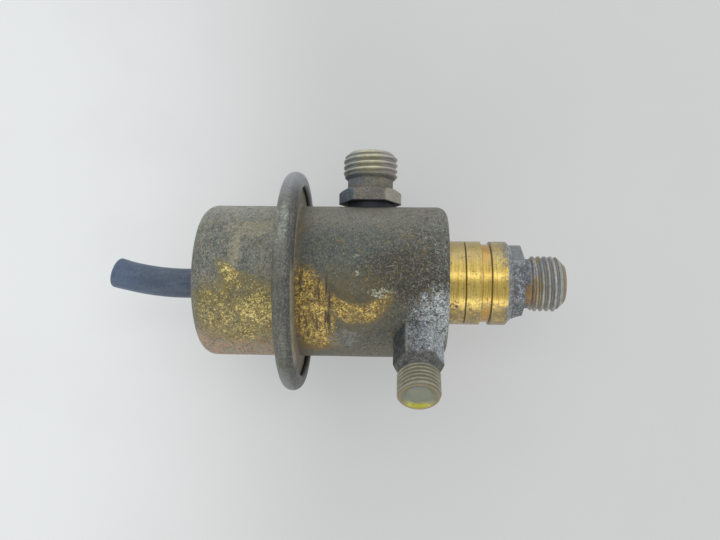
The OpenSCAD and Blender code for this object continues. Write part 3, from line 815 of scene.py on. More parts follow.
# %% Finish
class Finish(Nodes):
    """One material, with short forms for the nodes that the finishes below share."""

    def __init__(self, name):
        self.material = bpy.data.materials.new(name)
        super().__init__(self.material)
        metres = self.node("ShaderNodeTexCoord", output="Object")
        self.place = self.node("ShaderNodeVectorMath", {"operation": "SCALE"}, {0: metres, "Scale": 1 / MM})
        self.x = self.node("ShaderNodeSeparateXYZ", inputs={0: self.place})
        self.y = self.x.also("Y")
        self.z = self.x.also("Z")
        self.angle = self.y.maths("ARCTAN2", self.z) * math.degrees(1)
        self.side = (self.angle * math.radians(1)).maths("SINE")

    def noise(self, size, detail=3.0, rough=0.55, stretch=(1, 1, 1), shift=0.0):
        """Noise with grains of about size millimetres, longer along an axis where stretch is under 1."""
        place = self.node("ShaderNodeVectorMath", {"operation": "MULTIPLY_ADD"},
                          {0: self.place, 1: stretch, 2: (shift, 1.7 * shift, -shift)})
        return self.node("ShaderNodeTexNoise", inputs={"Vector": place, "Scale": 1 / size, "Detail": detail,
                                                       "Roughness": rough})

    def cells(self, size, shift=0.0):
        """Small crystals of about size millimetres, each with its own value between 0 and 1."""
        place = self.node("ShaderNodeVectorMath", {"operation": "ADD"},
                          {0: self.place, 1: (shift, 2 * shift, -shift)})
        crystals = self.node("ShaderNodeTexVoronoi", inputs={"Vector": place, "Scale": 1 / size},
                             output="Color")
        return self.node("ShaderNodeSeparateColor", inputs={0: crystals})

    def mix(self, mask, first, second):
        """Colour that goes from first to second as the mask goes from 0 to 1."""
        return self.node("ShaderNodeMix", {"data_type": "RGBA"}, {0: mask, 6: first, 7: second}, output=2)

    def patch(self, x, angle, half_x, half_angle, slant=0.0):
        """Oval place on the housing, from 1 in its middle to 0 at its edge and below 0 outside. It may
        slant by some degrees for each millimetre along the axis."""
        along = self.x - x
        across = along / half_x
        round_it = (self.angle - angle - along * slant) / half_angle
        return 1 - across * across - round_it * round_it

    def mark(self, name):
        """A value that is kept on the piece's points."""
        return self.node("ShaderNodeAttribute", {"attribute_name": name}, output="Fac")

    def surface(self, colour, roughness, metallic, relief, depth, **fixed):
        """Closes the finish: a Principled shader whose bump is depth millimetres high where relief is 1."""
        normal = self.node("ShaderNodeBump", inputs={"Height": relief, "Strength": 1.0,
                                                     "Distance": depth * MM})
        shader = self.node("ShaderNodeBsdfPrincipled", inputs={
            "Base Color": colour, "Roughness": roughness, "Metallic": metallic, "Normal": normal, **fixed})
        self.node("ShaderNodeOutputMaterial", inputs={"Surface": shader})
        print(f"{self.material.name}: {len(self.tree.nodes)} nodes")
        return self.material


# %% [markdown]
# ## Layers
#
# An aged surface is a stack: bare or plated metal, clouds of oxide, worn patches, flecks, dirt. So a coat
# takes a mask and lays colour, roughness and metal over what is there. Flecks add small crystals, a fine
# and a coarse noise, and cut the sum off at a level that falls as their cover rises. So they gather in
# clumps and thin out raggedly at the edge of a patch, where a plain mask would just fade. Grain is the
# finest layer: every old surface here is mottled at a third of a millimetre.

# %% Coats, flecks and grain
FLECK_LEVEL = 0.68
FLECK_GAIN = 0.36


def shade(red, green, blue):
    """Colour written as 0 to 255 on a screen, as the linear values that a shader works with."""
    return tuple(((c / 255 + 0.055) / 1.055) ** 2.4 for c in (red, green, blue))


class Coated(Finish):
    """A finish built from coats, each laid over the last one where its mask is 1."""

    def __init__(self, name, colour, rough, metal):
        super().__init__(name)
        self.colour = self.mix(1.0, colour, colour)
        self.rough = rough
        self.metal = metal
        self.relief = 0.0

    def coat(self, mask, colour, rough=None, metal=None):
        """Lays a coat: colour, roughness and metal go over to the new ones where the mask is 1."""
        self.colour = self.mix(mask, self.colour, colour)
        if rough is not None:
            self.rough = self.rough + mask * (rough - self.rough)
        if metal is not None:
            self.metal = self.metal + mask * (metal - self.metal)

    def flecks(self, size, cover, soft=0.1, clump=4.0, shift=0.0):
        """Ragged flecks of about size millimetres, in clumps, that cover about half where cover is 0.5."""
        crystal = self.cells(size, shift)
        fine = self.noise(size, 3.0, 0.7, shift=shift)
        coarse = self.noise(size * clump, 2.0, shift=shift + 31.0)
        total = crystal * 0.14 + fine * 0.5 + coarse * 0.36 + cover * FLECK_GAIN
        return total.ramp(FLECK_LEVEL - soft / 2, FLECK_LEVEL + soft / 2)

    def grain(self, size, dark, light, share, stretch=(1, 1, 1), shift=0.0):
        """Fine mottling: dark where a noise is low, light where it is high. Returns the noise."""
        grain = self.noise(size, 4.0, 0.75, stretch, shift) * 0.8 + self.cells(size * 0.7, shift) * 0.2
        self.coat(grain.ramp(0.49, 0.36) * share, dark)
        self.coat(grain.ramp(0.51, 0.64) * share, light)
        return grain

    def gilt(self, place, film, gap, bright, shift):
        """Worn plating on a place with a ragged edge: a dull film, dark gaps in it, bright grains on top."""
        drift = self.noise(3.0, 4.0, 0.65, (1, 0.6, 0.6), shift + 2) * 1.6 - 0.8
        place = (place + drift) * place.ramp(0.0, 0.3)
        self.coat(self.flecks(0.6, place * 0.95, 0.4, shift=shift) * 0.9, film, 0.52, 0.4)
        self.coat(self.flecks(0.26, place * 0.42, 0.14, clump=3.0, shift=shift + 4) * 0.8, gap, 0.6, 0.3)
        self.coat(self.flecks(0.26, place * 0.42, 0.16, clump=4.0, shift=shift + 8), bright, 0.42, 0.45)

    def blend(self, size, first, second, shift=0.0):
        """Colour that wanders between two tints in spots of about size millimetres."""
        return self.mix(self.noise(size, 2.0, shift=shift).ramp(0.36, 0.64), first, second)

    def done(self, depth, **fixed):
        return self.surface(self.colour, self.rough, self.metal, self.relief, depth, **fixed)


finishes = {}
print(f"middle grey on a screen is {shade(128, 128, 128)[0]:.3f} in a shader")

# %% [markdown]
# ## The spring housing's grey plating
#
# The plating has gone grey and dull. The side that is turned to the back and the wall beside the rim are
# painted paler, as painted light. Low down in front it is pinkish brown. One flat grey would look like
# paint. So clouds, spots, streaks round the wall and a fine grain each change it a little.

# %% Spring housing, grey wall
cup = Coated("cup_plating", shade(102, 108, 105), 0.55, 0.35)
cloud = cup.noise(4.5, 4.0)
spot = cup.noise(1.7, 4.0, 0.65, (1, 0.6, 0.6), 9)
streak = cup.noise(0.7, 3.0, stretch=(1, 0.15, 0.15), shift=6)
cup.coat(cloud.ramp(0.42, 0.66) * 0.8, shade(119, 117, 108))
# painted light: the side turned to the back and up is painted paler
cup.coat(cup.side.ramp(0.55, 0.9) * 0.85, shade(174, 174, 165))
# painted light: the wall beside the rim is painted paler, against the shade that the rim casts
cup.coat(cup.x.ramp(4.0, 8.2) * 0.6, shade(156, 154, 142))
cup.coat(streak.ramp(0.5, 0.7) * 0.35, shade(136, 135, 122))
low_front = cup.patch(1, -68, 17, 34).ramp(-0.5, 0.8)
pinkish = cup.blend(2.4, shade(178, 163, 138), shade(206, 164, 132))
cup.coat(cup.flecks(1.2, low_front, 0.3, shift=17) * 0.9, pinkish)
cup.coat(spot.ramp(0.5, 0.36) * 0.55, shade(86, 90, 84))
cup.coat(spot.ramp(0.52, 0.66) * 0.5, shade(148, 145, 128))
grain = cup.grain(0.4, shade(78, 81, 74), shade(162, 158, 140), 0.8, (1, 0.55, 0.55))
print(f"grey wall: {len(cup.tree.nodes)} nodes so far")

# %% [markdown]
# ### Yellow that shows through
#
# On the side that faces up, the yellow plating still shows in fine flecks, thickest in a patch towards
# the rim. It could be one yellow colour that fades in. But worn plating is film, gaps and bright grains,
# so it is laid in that order. A few pale rubbed places lie beside it.

# %% Spring housing, yellow flecks
rubbed = cup.patch(-1.0, 20, 1.5, 20).ramp(-0.8, 0.9) | cup.patch(2.0, 36, 6.5, 10).ramp(-0.6, 0.9) * 0.9
pale = cup.blend(0.8, shade(160, 152, 124), shade(178, 170, 146))
cup.coat(cup.flecks(0.3, rubbed * 0.6, 0.2, clump=3.0, shift=7) * 0.75, pale)
gold_place = (cup.patch(1, -29, 12, 26).ramp(-0.8, 0.7) * 0.8
              | cup.patch(-1.4, -3, 3.8, 8, -2.3).ramp(-0.8, 0.9)
              | cup.patch(5.0, -26, 6, 14).ramp(-0.5, 0.8) * 1.25)
cup.coat(gold_place * 0.5, shade(130, 122, 86))
film = cup.blend(1.6, shade(130, 120, 80), shade(148, 130, 76), 3)
bright = cup.blend(0.4, shade(162, 136, 60), shade(242, 226, 154), 2)
cup.gilt(gold_place, film, shade(70, 64, 48), bright, 11)
print(f"with its yellow: {len(cup.tree.nodes)} nodes")

# %% [markdown]
# ### The rim
#
# Rolling made the rim smoother than the wall. It is painted paler on its upper and lower sides, as
# painted light, and beside the slit it has a dark band of dirt and painted shade. Along its lip runs a
# pale line that is partly wear and partly a painted highlight. A material of its own would need a second
# slot, so the rim is a coat that begins where the flange does.

# %% Spring housing, rim
on_rim = cup.x.ramp(8.2, 9.3)
rim_grey = cup.mix(cloud.ramp(0.35, 0.65), shade(94, 94, 86), shade(114, 113, 102))
cup.coat(on_rim, rim_grey, 0.48, 0.45)
# painted light: the rim's upper half is painted a little paler, and its top and bottom paler still
cup.coat(on_rim * cup.side.ramp(-0.1, 0.5) * 0.5, shade(124, 125, 121))
cup.coat(on_rim * cup.side.ramp(0.55, 0.9) * 0.85, shade(176, 179, 184))
cup.coat(on_rim * cup.side.ramp(-0.74, -0.97) * 0.85, shade(140, 143, 146))
# dirt and painted shade: a dark band beside the slit
cup.coat(cup.x.ramp(11.6, 12.7) * cup.side.ramp(0.95, 0.64) * 0.66, shade(72, 71, 70))
cup.coat(on_rim * streak.ramp(0.5, 0.66) * 0.35, shade(142, 140, 130))
cup.coat(on_rim * grain.ramp(0.52, 0.66) * 0.5, shade(152, 150, 140))
cup.coat(on_rim * grain.ramp(0.48, 0.36) * 0.5, shade(70, 70, 66))
rubbed = cup.patch(10.4, 24, 2.4, 13).ramp(-0.5, 0.8) * 0.42
cup.coat(cup.flecks(0.5, rubbed, 0.16, shift=4) * 0.8, shade(164, 170, 156))
# wear and painted highlight: a pale line along the lip's edge
on_lip = cup.x.ramp(13.2, 13.45) * cup.patch(13.8, -26, 6, 30).ramp(-0.2, 0.5)
cup.coat(on_lip * 0.8, cup.blend(1.5, shade(150, 138, 116), shade(176, 163, 138)))
cup.relief = grain * 0.7 + streak * 0.3
finishes["cup_steel"] = cup.done(0.06)

# %% [markdown]
# ## The fuel housing's wall
#
# The second cup has had fuel and water on it, and it is darker than the first. Its top is nearly black
# towards the far end, which is speckled light and dark. Each stain is an oval patch on the wall, and
# noise makes its edge. A painted picture would be sharper, but it would need an image file and a map of
# the skin.

# %% Fuel housing, dark wall
fuel = Coated("fuel_plating", shade(88, 92, 86), 0.55, 0.35)
cloud = fuel.noise(5.0, 4.0, shift=1)
streak = fuel.noise(0.8, 3.0, stretch=(1, 0.16, 0.16), shift=5)
spot = fuel.noise(1.2, 3.0, 0.6, shift=14)
far_end = fuel.x.ramp(25, 45)
fuel.coat(cloud.ramp(0.42, 0.66) * 0.6, shade(104, 101, 90))
fuel.coat(fuel.patch(22, 20, 12, 26).ramp(-0.4, 0.7) * 0.6, shade(80, 90, 88))
# painted light: the side turned to the back and up is painted paler
fuel.coat(fuel.side.ramp(0.44, 0.81) * 0.9, fuel.blend(3.0, shade(136, 136, 128), shade(146, 143, 132)))
# painted light: the lower side is painted paler
fuel.coat(fuel.side.ramp(-0.72, -0.9) * 0.85, shade(116, 110, 95))
fuel.coat(fuel.patch(39, 0, 12, 22).ramp(-0.4, 0.8) * 0.95, shade(60, 56, 48))
fuel.coat(spot.ramp(0.5, 0.36) * 0.3, shade(72, 75, 70))
fuel.coat(spot.ramp(0.52, 0.66) * 0.3, shade(112, 110, 99))
grain = fuel.grain(0.38, shade(62, 64, 59), shade(132, 130, 117), 0.7, (1, 0.7, 0.7))
dark_specks = fuel.flecks(0.3, far_end * 0.4, 0.12, clump=4.0, shift=21)
fuel.coat(dark_specks * 0.75, shade(50, 48, 43))
light_specks = fuel.flecks(0.3, 0.04 + far_end * 0.14, 0.14, clump=3.0, shift=2)
fuel.coat(light_specks * 0.75, shade(158, 158, 148))
print(f"dark wall: {len(fuel.tree.nodes)} nodes so far")

# %% [markdown]
# ### Yellow beside the rim
#
# Beside the rim the yellow plating is left, with dark runs down it, and an arc of it goes on along the
# wall with a dark edge above. The arc is a parabola of angle against x: where the angle is near the
# parabola, the mask is 1.

# %% Fuel housing, yellow plating
by_rim = fuel.patch(17.0, -28, 5.6, 32, -2.0).ramp(-0.5, 0.5) * fuel.x.ramp(12.9, 13.8) * 1.05
bow = fuel.angle + 29 - ((fuel.x - 28) / 4.6).maths("POWER", 2.0) * 4.5
on_bow = 0.95 * (1 - bow * bow / 58).ramp(-0.8, 0.8) * fuel.x.ramp(20.4, 22.4) * fuel.x.ramp(37.5, 32.0)
above = bow - 10
over_bow = (1 - above * above / 26).ramp(-0.3, 0.8) * fuel.x.ramp(20.8, 22) * fuel.x.ramp(33, 29)
fuel.coat(over_bow * 0.6, shade(66, 60, 50))
fuel.coat(fuel.patch(18, -56, 6, 12).ramp(-0.4, 0.7) * 0.8, shade(136, 112, 66))
tint = fuel.blend(3.0, shade(120, 106, 66), shade(106, 98, 70), 2)
fuel.coat(fuel.patch(25, -22, 12, 26).ramp(-0.7, 0.9) * 0.5, tint)
# painted light: the flange beside the rim is painted paler, against the shade that the rim casts there
fuel.coat(fuel.x.ramp(15.0, 13.8) * 0.7, fuel.blend(1.5, shade(124, 114, 96), shade(142, 132, 112)))
rusty = fuel.patch(15.2, 42, 2.6, 12).ramp(-0.4, 0.8) * 0.4
fuel.coat(fuel.flecks(0.4, rusty, 0.14, clump=3.0, shift=33) * 0.5, shade(136, 108, 76))
film = fuel.blend(1.2, shade(136, 110, 56), shade(140, 122, 76), 7)
bright = fuel.blend(0.4, shade(184, 142, 46), shade(246, 220, 134), 9)
fuel.gilt(by_rim | on_bow, film, shade(76, 58, 38), bright, 6)
fuel.coat(by_rim * streak.ramp(0.52, 0.64) * 0.7, shade(84, 64, 42), 0.55, 0.3)
print(f"with its yellow: {len(fuel.tree.nodes)} nodes")

# %% [markdown]
# ### White corrosion, and dirt in the scratch
#
# White corrosion frosts the end by the branch and sits in a few spots on the wall. It is a salt and no
# metal, so it is rough and its metal is near 0. It also stands up a little, so it goes into the relief as
# well. The scratch that is cut in the skin has dark dirt in it.

# %% Fuel housing, corrosion
greyed = fuel.patch(24.5, -52, 4.6, 11).ramp(-0.6, 0.9) * 0.5
fuel.coat(fuel.flecks(0.4, greyed, 0.2, shift=13) * 0.6, shade(150, 154, 152))
spots = (fuel.patch(33.5, -13, 3.6, 5).ramp(-0.3, 0.8) | fuel.patch(27.8, 1, 0.5, 3.2).ramp(0, 0.6)
         | fuel.patch(27.5, 13, 1.2, 1.4).ramp(0, 0.6))
fuel.coat(fuel.flecks(0.4, spots * 0.42, 0.12, clump=3.0, shift=25), shade(184, 182, 160), 0.7, 0.1)
frost_place = fuel.patch(48.5, -34, 8.5, 27).ramp(-0.9, 1.0) * 0.64 | fuel.x.ramp(38, 51) * 0.24
frost = fuel.flecks(0.24, frost_place, 0.16, clump=5.0, shift=8)
fuel.coat(frost * 0.9, fuel.blend(0.5, shade(140, 147, 150), shade(226, 230, 228), 12), 0.75, 0.05)
in_scratch = fuel.patch(scratch_x, -26, 0.8, 30).ramp(0.0, 0.6) * streak.ramp(0.42, 0.56)
fuel.coat(in_scratch * 0.85, shade(66, 54, 40), 0.6, 0.2)
fuel.relief = grain * 0.7 + frost * 0.5
finishes["fuel_steel"] = fuel.done(0.06)

# %% [markdown]
# ## The bush's yellow plating
#
# Turned and plated metal shines in bands along its length, because the rings that the tool left spread
# the light one way. An anisotropic shader can do that too, but noise that changes only along x also gives
# the single rings. The upper side is painted a duller, darker colour as painted shade, the lower side is
# dulled by grime, and a clear film over it keeps its shine.

# %% Bush, turned plating
bush = Coated("bush_plating", shade(238, 208, 110), 0.28, 1.0)
rings = bush.noise(0.16, 3.0, 0.6, stretch=(1, 0.02, 0.02))
bands = bush.noise(1.2, 3.0, stretch=(1, 0.05, 0.05), shift=4)
lines = bush.noise(0.34, 3.0, 0.7, stretch=(1, 0.03, 0.03), shift=11)
bush.coat(bands.ramp(0.42, 0.62) * 0.5, shade(230, 188, 84))
bush.coat(rings.ramp(0.5, 0.64) * 0.6, shade(146, 116, 56))
bush.coat(lines.ramp(0.52, 0.64) * 0.4, shade(196, 148, 60))
bush.coat(lines.ramp(0.46, 0.36) * 0.4, shade(244, 228, 140))
# painted shade: the upper side is painted a duller, darker colour
bush.coat(bush.side.ramp(0.2, 0.6) * 0.75, shade(178, 158, 106), 0.44, 0.8)
dulled = bush.flecks(0.7, bush.side.ramp(-0.36, -0.8) * 0.74, 0.4, shift=2)
bush.coat(dulled * 0.9, bush.blend(1.4, shade(150, 128, 86), shade(128, 116, 94)), 0.5, 0.6)
print(f"plating: {len(bush.tree.nodes)} nodes so far")

# %% [markdown]
# ### Dirt in the groove, grey at the end
#
# The groove keeps its deeper yellow at the sides, the scribed line and the groove's far corner are
# painted dark as painted shade, and small dark specks are everywhere. The end by the hexagon and its
# chamfer have gone grey. The places are taken from the section's own sizes, so they stay in the cuts that
# the skin has.

# %% Bush, dirt and grey end
ALL_ROUND = 400  # half angle of a patch that goes right round
chamfer_x = bush_high[0] - bush_chamfer
in_groove = bush.patch((groove_from + groove_to) / 2, 0, 1.08, ALL_ROUND).ramp(0.0, 0.1)
both_sides = bush.side.ramp(0.2, 0.7) | bush.side.ramp(-0.6, -0.83)
bush.coat(in_groove * both_sides * 0.55, shade(216, 160, 66), 0.36, 0.95)
# painted shade: dark in the scribed line and in the groove's far corner
in_line = bush.patch(line_x, 0, line_half, ALL_ROUND).ramp(0.0, 0.6) * 0.7
in_corner = bush.patch(groove_to + 0.05, 0, 0.22, ALL_ROUND).ramp(0, 0.6) * 0.75
bush.coat(in_line | in_corner, shade(76, 60, 30), 0.5, 0.5)
bush.coat(bush.flecks(0.4, 0.22, 0.12, shift=18) * 0.6, shade(110, 86, 44), 0.5, 0.7)
end = (bush.x.ramp(groove_to + 0.7, chamfer_x) * 0.42
       + bush.side.ramp(0.24, 0.7) * bush.x.ramp(groove_to, groove_to + 0.2) * 0.28)
end_grey = bush.blend(0.7, shade(112, 114, 112), shade(136, 132, 112), 6)
bush.coat(bush.flecks(0.4, end, 0.2, shift=26) * 0.9, end_grey, 0.55, 0.5)
chamfer_grey = bush.blend(0.5, shade(96, 100, 104), shade(126, 130, 134), 3)
bush.coat(bush.x.ramp(chamfer_x - 0.3, chamfer_x) * 0.9, chamfer_grey, 0.55, 0.4)
salted = bush.flecks(0.35, bush.x.ramp(chamfer_x - 0.4, chamfer_x) * 0.36, 0.14, clump=3.0, shift=16)
bush.coat(salted * 0.8, shade(178, 182, 184), 0.7, 0.1)
burnt = bush.patch(50.6, -37, 2.2, 9).ramp(-0.4, 0.8) * 0.5
bush.coat(bush.flecks(0.6, burnt, 0.1, shift=3), shade(78, 52, 28), 0.6, 0.3)
bush.relief = rings
finishes["bush_plated"] = bush.done(0.016, **{"Coat Weight": 0.6, "Coat Roughness": 0.2})

# %% [markdown]
# ## How all three unions have aged
#
# The unions share a way of ageing: grey oxide on the hexagon, paler at its corners from wear and a
# painted highlight, dull yellow on the thread with dirt in its root. Only their tints and where these begin
# differ, so one function makes all three. It reads the marks that are kept on the points, since a
# thread's root can't be found from coordinates alone.

# %% Union finish
def union_finish(name, ground, pale, root, crest, thread_from, frost, frost_colour, shift):
    """Finish of a union, and the mask of its thread: hexagon and thread part at the height thread_from."""
    union = Coated(name, ground, 0.52, 0.4)
    cloud = union.noise(1.8, 4.0, shift=shift)
    union.coat(cloud.ramp(0.4, 0.65) * 0.7, pale)
    union.relief = union.grain(0.4, tuple(0.55 * c for c in ground), tuple(1.5 * c for c in pale), 0.5,
                               shift=shift)
    # wear and painted highlight: the hexagon's corners are painted paler
    union.coat(union.mark("worn") * 0.35, shade(146, 144, 134), 0.45, 0.6)
    union.coat(union.flecks(0.28, frost, 0.16, clump=4.0, shift=shift) * 0.85, frost_colour, 0.7, 0.1)
    on_thread = union.mark("along").ramp(thread_from - 0.5, thread_from + 0.3)
    crest_colour = union.mix(cloud.ramp(0.35, 0.65), crest, tuple(0.78 * c for c in crest))
    union.coat(on_thread, crest_colour, 0.4, 0.7)
    union.coat(on_thread * union.mark("root").ramp(0.3, 0.95) * 0.8, root, 0.55, 0.4)
    specks = union.noise(0.5, 4.0, 0.7, shift=shift).ramp(0.5, 0.62)
    union.coat(on_thread * specks * 0.3, tuple(0.5 * c for c in crest))
    return union, on_thread


def cloudy(finish, shift):
    """Soft clouds of about a millimetre."""
    return finish.noise(1.1, 3.0, 0.6, shift=shift).ramp(0.44, 0.6)


print("one finish for", ", ".join(piece.name for piece in pieces if piece.name.endswith("union")))

# %% [markdown]
# ### The inlet's finish
#
# The inlet's thread is pale, with painted light that is bluish on its left and reddish on its right. The
# left flat of its hexagon is painted a lighter blue grey and the right one pale and warm, as painted light,
# with brown specks, and its underside is painted near black as painted shade.

# %% Inlet finish
inlet, on_thread = union_finish(
    "inlet_plating", shade(108, 107, 101), shade(125, 120, 110), shade(110, 108, 96), shade(220, 215, 186),
    inlet_hex_top + 4.4, 0.2, shade(152, 147, 131), 1)
along = inlet.mark("along")
shoulder = (inlet_hex_top + 0.5, inlet_hex_top + 1.1)
on_hexagon = along.ramp(shoulder[1], shoulder[0])
on_neck = along.ramp(*shoulder) * along.ramp(inlet_hex_top + 3.7, inlet_hex_top + 2.7)
inlet.coat(inlet.mark("inside"), shade(120, 118, 104))
# painted light: bluish on the thread's left side
inlet.coat(on_thread * inlet.x.ramp(28.4, 25.4) * 0.6, shade(150, 160, 164), 0.4, 0.7)
# painted light: reddish on the thread's right side
inlet.coat(on_thread * inlet.x.ramp(32.0, 34.6) * 0.6, shade(168, 160, 168), 0.4, 0.7)
inlet.coat(on_neck * cloudy(inlet, 5) * 0.35, shade(150, 136, 102))
# painted light: bluish grey on the left of the neck
painted_light_left_neck = along.ramp(inlet_hex_top + 0.9, inlet_hex_top + 1.9) * inlet.x.ramp(30.5, 26.0)
inlet.coat(painted_light_left_neck * on_thread.maths("LESS_THAN", 0.5) * 0.5, shade(104, 116, 130))
# painted light: the hexagon's left flat is painted a lighter blue grey
painted_light_left_flat = inlet.blend(1.2, shade(96, 111, 130), shade(128, 140, 152))
inlet.coat(on_hexagon * inlet.x.ramp(26.2, 25.8) * 0.85, painted_light_left_flat, 0.45, 0.4)
# painted light: the hexagon's right flat is painted pale and warm
painted_light_right_flat = inlet.blend(1.2, shade(176, 172, 158), shade(198, 192, 174))
inlet.coat(on_hexagon * inlet.x.ramp(33.8, 34.2) * 0.75, painted_light_right_flat)
inlet.coat(inlet.flecks(0.5, on_hexagon * 0.28, 0.12, shift=8) * 0.5, shade(120, 88, 52))
# painted shade: the hexagon's underside and the gap under it are painted near black
inlet.coat(along.ramp(inlet_base + 0.25, inlet_base + 0.05) * 0.9, shade(28, 36, 48), 0.6, 0.2)
finishes["inlet_steel"] = inlet.done(0.05)

# %% [markdown]
# ### The branch's finish
#
# The branch is the darkest union. Pale bluish corrosion covers the side of its hexagon that is turned to
# the bush, its left flat is painted darker as painted shade, and its neck is painted nearly black as
# painted shade. Yellow plating shows on the lower inner wall of the mouth, painted bright there as painted
# light, and the end face is worn to a brownish ring.

# %% Branch finish
branch, _ = union_finish(
    "branch_plating", shade(78, 79, 78), shade(98, 100, 99), shade(116, 114, 98), shade(168, 165, 142),
    branch_hex_top + 3.5, 0.4, shade(168, 172, 173), 4)
along = branch.mark("along")
inside = branch.mark("inside")
# painted shade: the hexagon's left flat is painted darker
shaded_left_flat = branch.x.ramp(39.4, 38.6) * along.ramp(branch_hex_top + 0.7, branch_hex_top - 0.1)
branch.coat(shaded_left_flat * 0.75, shade(64, 68, 70))
frost_place = branch.x.ramp(38.8, 47.0) * along.ramp(branch_hex_top + 1.8, branch_hex_top - 1.7) * 0.56
bluish = branch.blend(0.5, shade(136, 146, 158), shade(214, 219, 222))
branch.coat(branch.flecks(0.24, frost_place, 0.16, shift=14), bluish, 0.75, 0.1)
# wear and painted highlight: the hexagon's corners are painted paler still
corners = branch.mark("worn") * along.ramp(branch_hex_top + 0.7, branch_hex_top + 0.1)
branch.coat(corners * 0.4, shade(160, 160, 148), 0.45, 0.6)
# painted shade: the recessed neck is painted nearly black
on_neck = (along.ramp(branch_hex_top - 0.2, branch_hex_top + 0.5)
           * along.ramp(branch_hex_top + 3.7, branch_hex_top + 2.9))
branch.coat(on_neck * 0.6, branch.blend(0.9, shade(62, 62, 58), shade(92, 88, 76)))
branch.coat(inside, branch.blend(1.2, shade(134, 136, 116), shade(146, 142, 120)), 0.35, 0.5)
# yellow plating and painted light: the lower inner wall of the mouth is painted bright yellow
lit_yellow_crescent = inside * (branch.y + cloudy(branch, 3) * 0.25).ramp(-28.0, -29.9)
yellow = branch.blend(1.4, shade(196, 194, 44), shade(172, 166, 60), 4)
branch.coat(lit_yellow_crescent * 0.95, yellow, 0.25, 0.6)
worn_ring = branch.blend(1.0, shade(162, 136, 98), shade(150, 142, 118))
branch.coat(along.ramp(branch_tip - 0.2, branch_tip - 0.08) * 0.7, worn_ring, 0.35, 0.7)
finishes["branch_steel"] = branch.done(0.05)

# %% [markdown]
# ### The return's finish
#
# The return is grey with white corrosion on its hexagon, and the upper side of its hexagon is painted
# paler as painted light. Orange rust lies on the face and in the neck, bluish clouds over the first turns
# of the thread, and yellow streaks between them. The last turn is brownish. Python keeps the word return
# for itself, so this finish is called outlet.

# %% Return finish
outlet, on_thread = union_finish(
    "return_plating", shade(92, 95, 98), shade(114, 117, 120), shade(124, 126, 126), shade(188, 188, 182),
    return_face + 1.95, 0.36, shade(178, 182, 184), 9)
along = outlet.mark("along")
outlet.coat(outlet.mark("inside"), shade(120, 118, 108))
# painted light: the upper side of the hexagon is painted paler
painted_light_far_side = along.ramp(return_face + 1.05, return_face + 0.05) * outlet.side.ramp(0.2, 0.7)
outlet.coat(painted_light_far_side * 0.5, shade(150, 153, 152))
rust_place = outlet.patch(69.2, -36, 2.6, 34).ramp(-0.5, 1.0) * 0.85
rust = along.ramp(return_face - 0.05, return_face + 0.05) * outlet.flecks(0.6, rust_place, 0.4, shift=5)
orange = outlet.blend(0.8, shade(164, 118, 54), shade(142, 116, 74), 3)
outlet.coat(rust * 0.85, orange, 0.5, 0.4)
dulled = outlet.noise(1.5, 3.0, 0.6, shift=20).ramp(0.46, 0.6)
outlet.coat(on_thread * dulled * 0.25, shade(108, 110, 110), 0.5, 0.5)
past_face = along.ramp(return_face + 0.05, return_face + 0.45) * cloudy(outlet, 15)
first_turns = outlet.side.ramp(-0.3, 0.4) * outlet.x.ramp(75.5, 72.5)
outlet.coat(past_face * first_turns * 0.7, shade(110, 124, 148), 0.5, 0.5)
streak = outlet.noise(0.9, 3.0, stretch=(1, 0.3, 0.3), shift=12).ramp(0.46, 0.6)
outlet.coat(on_thread * outlet.x.ramp(75.5, 71.5) * streak * 0.7, shade(168, 146, 88), 0.4, 0.7)
outlet.coat(outlet.x.ramp(77.5, 78.2) * 0.6, shade(158, 126, 82), 0.4, 0.7)
finishes["return_steel"] = outlet.done(0.05)

# %% [markdown]
# ## The strainer's gauze
#
# A fine wire gauze closes the branch's mouth. Its wires could be modelled, but each is thinner than a
# pixel of this view. So two sine waves that cross at right angles on the disc give the weave as relief.

# %% Strainer finish
WEAVE = 18.0  # radians of the sine wave for each millimetre
gauze = Coated("woven_gauze", shade(146, 148, 126), 0.42, 0.6)
gauze.coat(gauze.noise(1.4, 3.0).ramp(0.45, 0.62), shade(134, 139, 142), 0.36)
across = gauze.y * 0.643 + gauze.z * 0.766  # second direction in the disc's plane
gauze.relief = (gauze.x * WEAVE).maths("SINE") * (across * WEAVE).maths("SINE")
gauze.coat(gauze.relief.ramp(0.3, 0.9) * 0.3, shade(100, 102, 88))
finishes["strainer_gauze"] = gauze.done(0.02)

# %% [markdown]
# ## Rubber
#
# The hose is dark rubber. Its blue grey, the paler bluish clouds on it and the deeper blue towards its
# cut end are a painted reflection of cold light, and it shines softly along its top. The diaphragm is
# fabric with rubber on both sides, so it is duller and has a weave. Neither has any metal, so the light
# gives their shine, and on the hose the painted reflection adds to it.

# %% Rubber finishes
# painted reflection: the blue grey base colour stands for cold light on black rubber
hose = Coated("wiped_rubber", shade(75, 88, 106), 0.42, 0.0)
painted_sheen_clouds = hose.noise(2.4, 4.0, stretch=(0.4, 1, 1))
# painted reflection: paler bluish clouds
hose.coat(painted_sheen_clouds.ramp(0.42, 0.66) * 0.7, shade(102, 116, 136), 0.5)
# painted reflection: bluer towards the cut end
hose.coat(hose.x.ramp(-24, -34) * 0.5, shade(78, 100, 132))
hose.relief = hose.grain(0.4, shade(50, 58, 70), shade(112, 122, 136), 0.35)
finishes["hose_rubber"] = hose.done(0.02)

FABRIC = 9.0  # radians of the sine wave for each millimetre
fabric = Coated("diaphragm_fabric", shade(96, 84, 74), 0.75, 0.0)
fabric.coat(fabric.noise(2.0, 3.0).ramp(0.4, 0.7) * 0.6, shade(80, 70, 62))
fabric.relief = (fabric.y * FABRIC).maths("SINE") * (fabric.z * FABRIC).maths("SINE")
finishes["diaphragm_rubber"] = fabric.done(0.03)

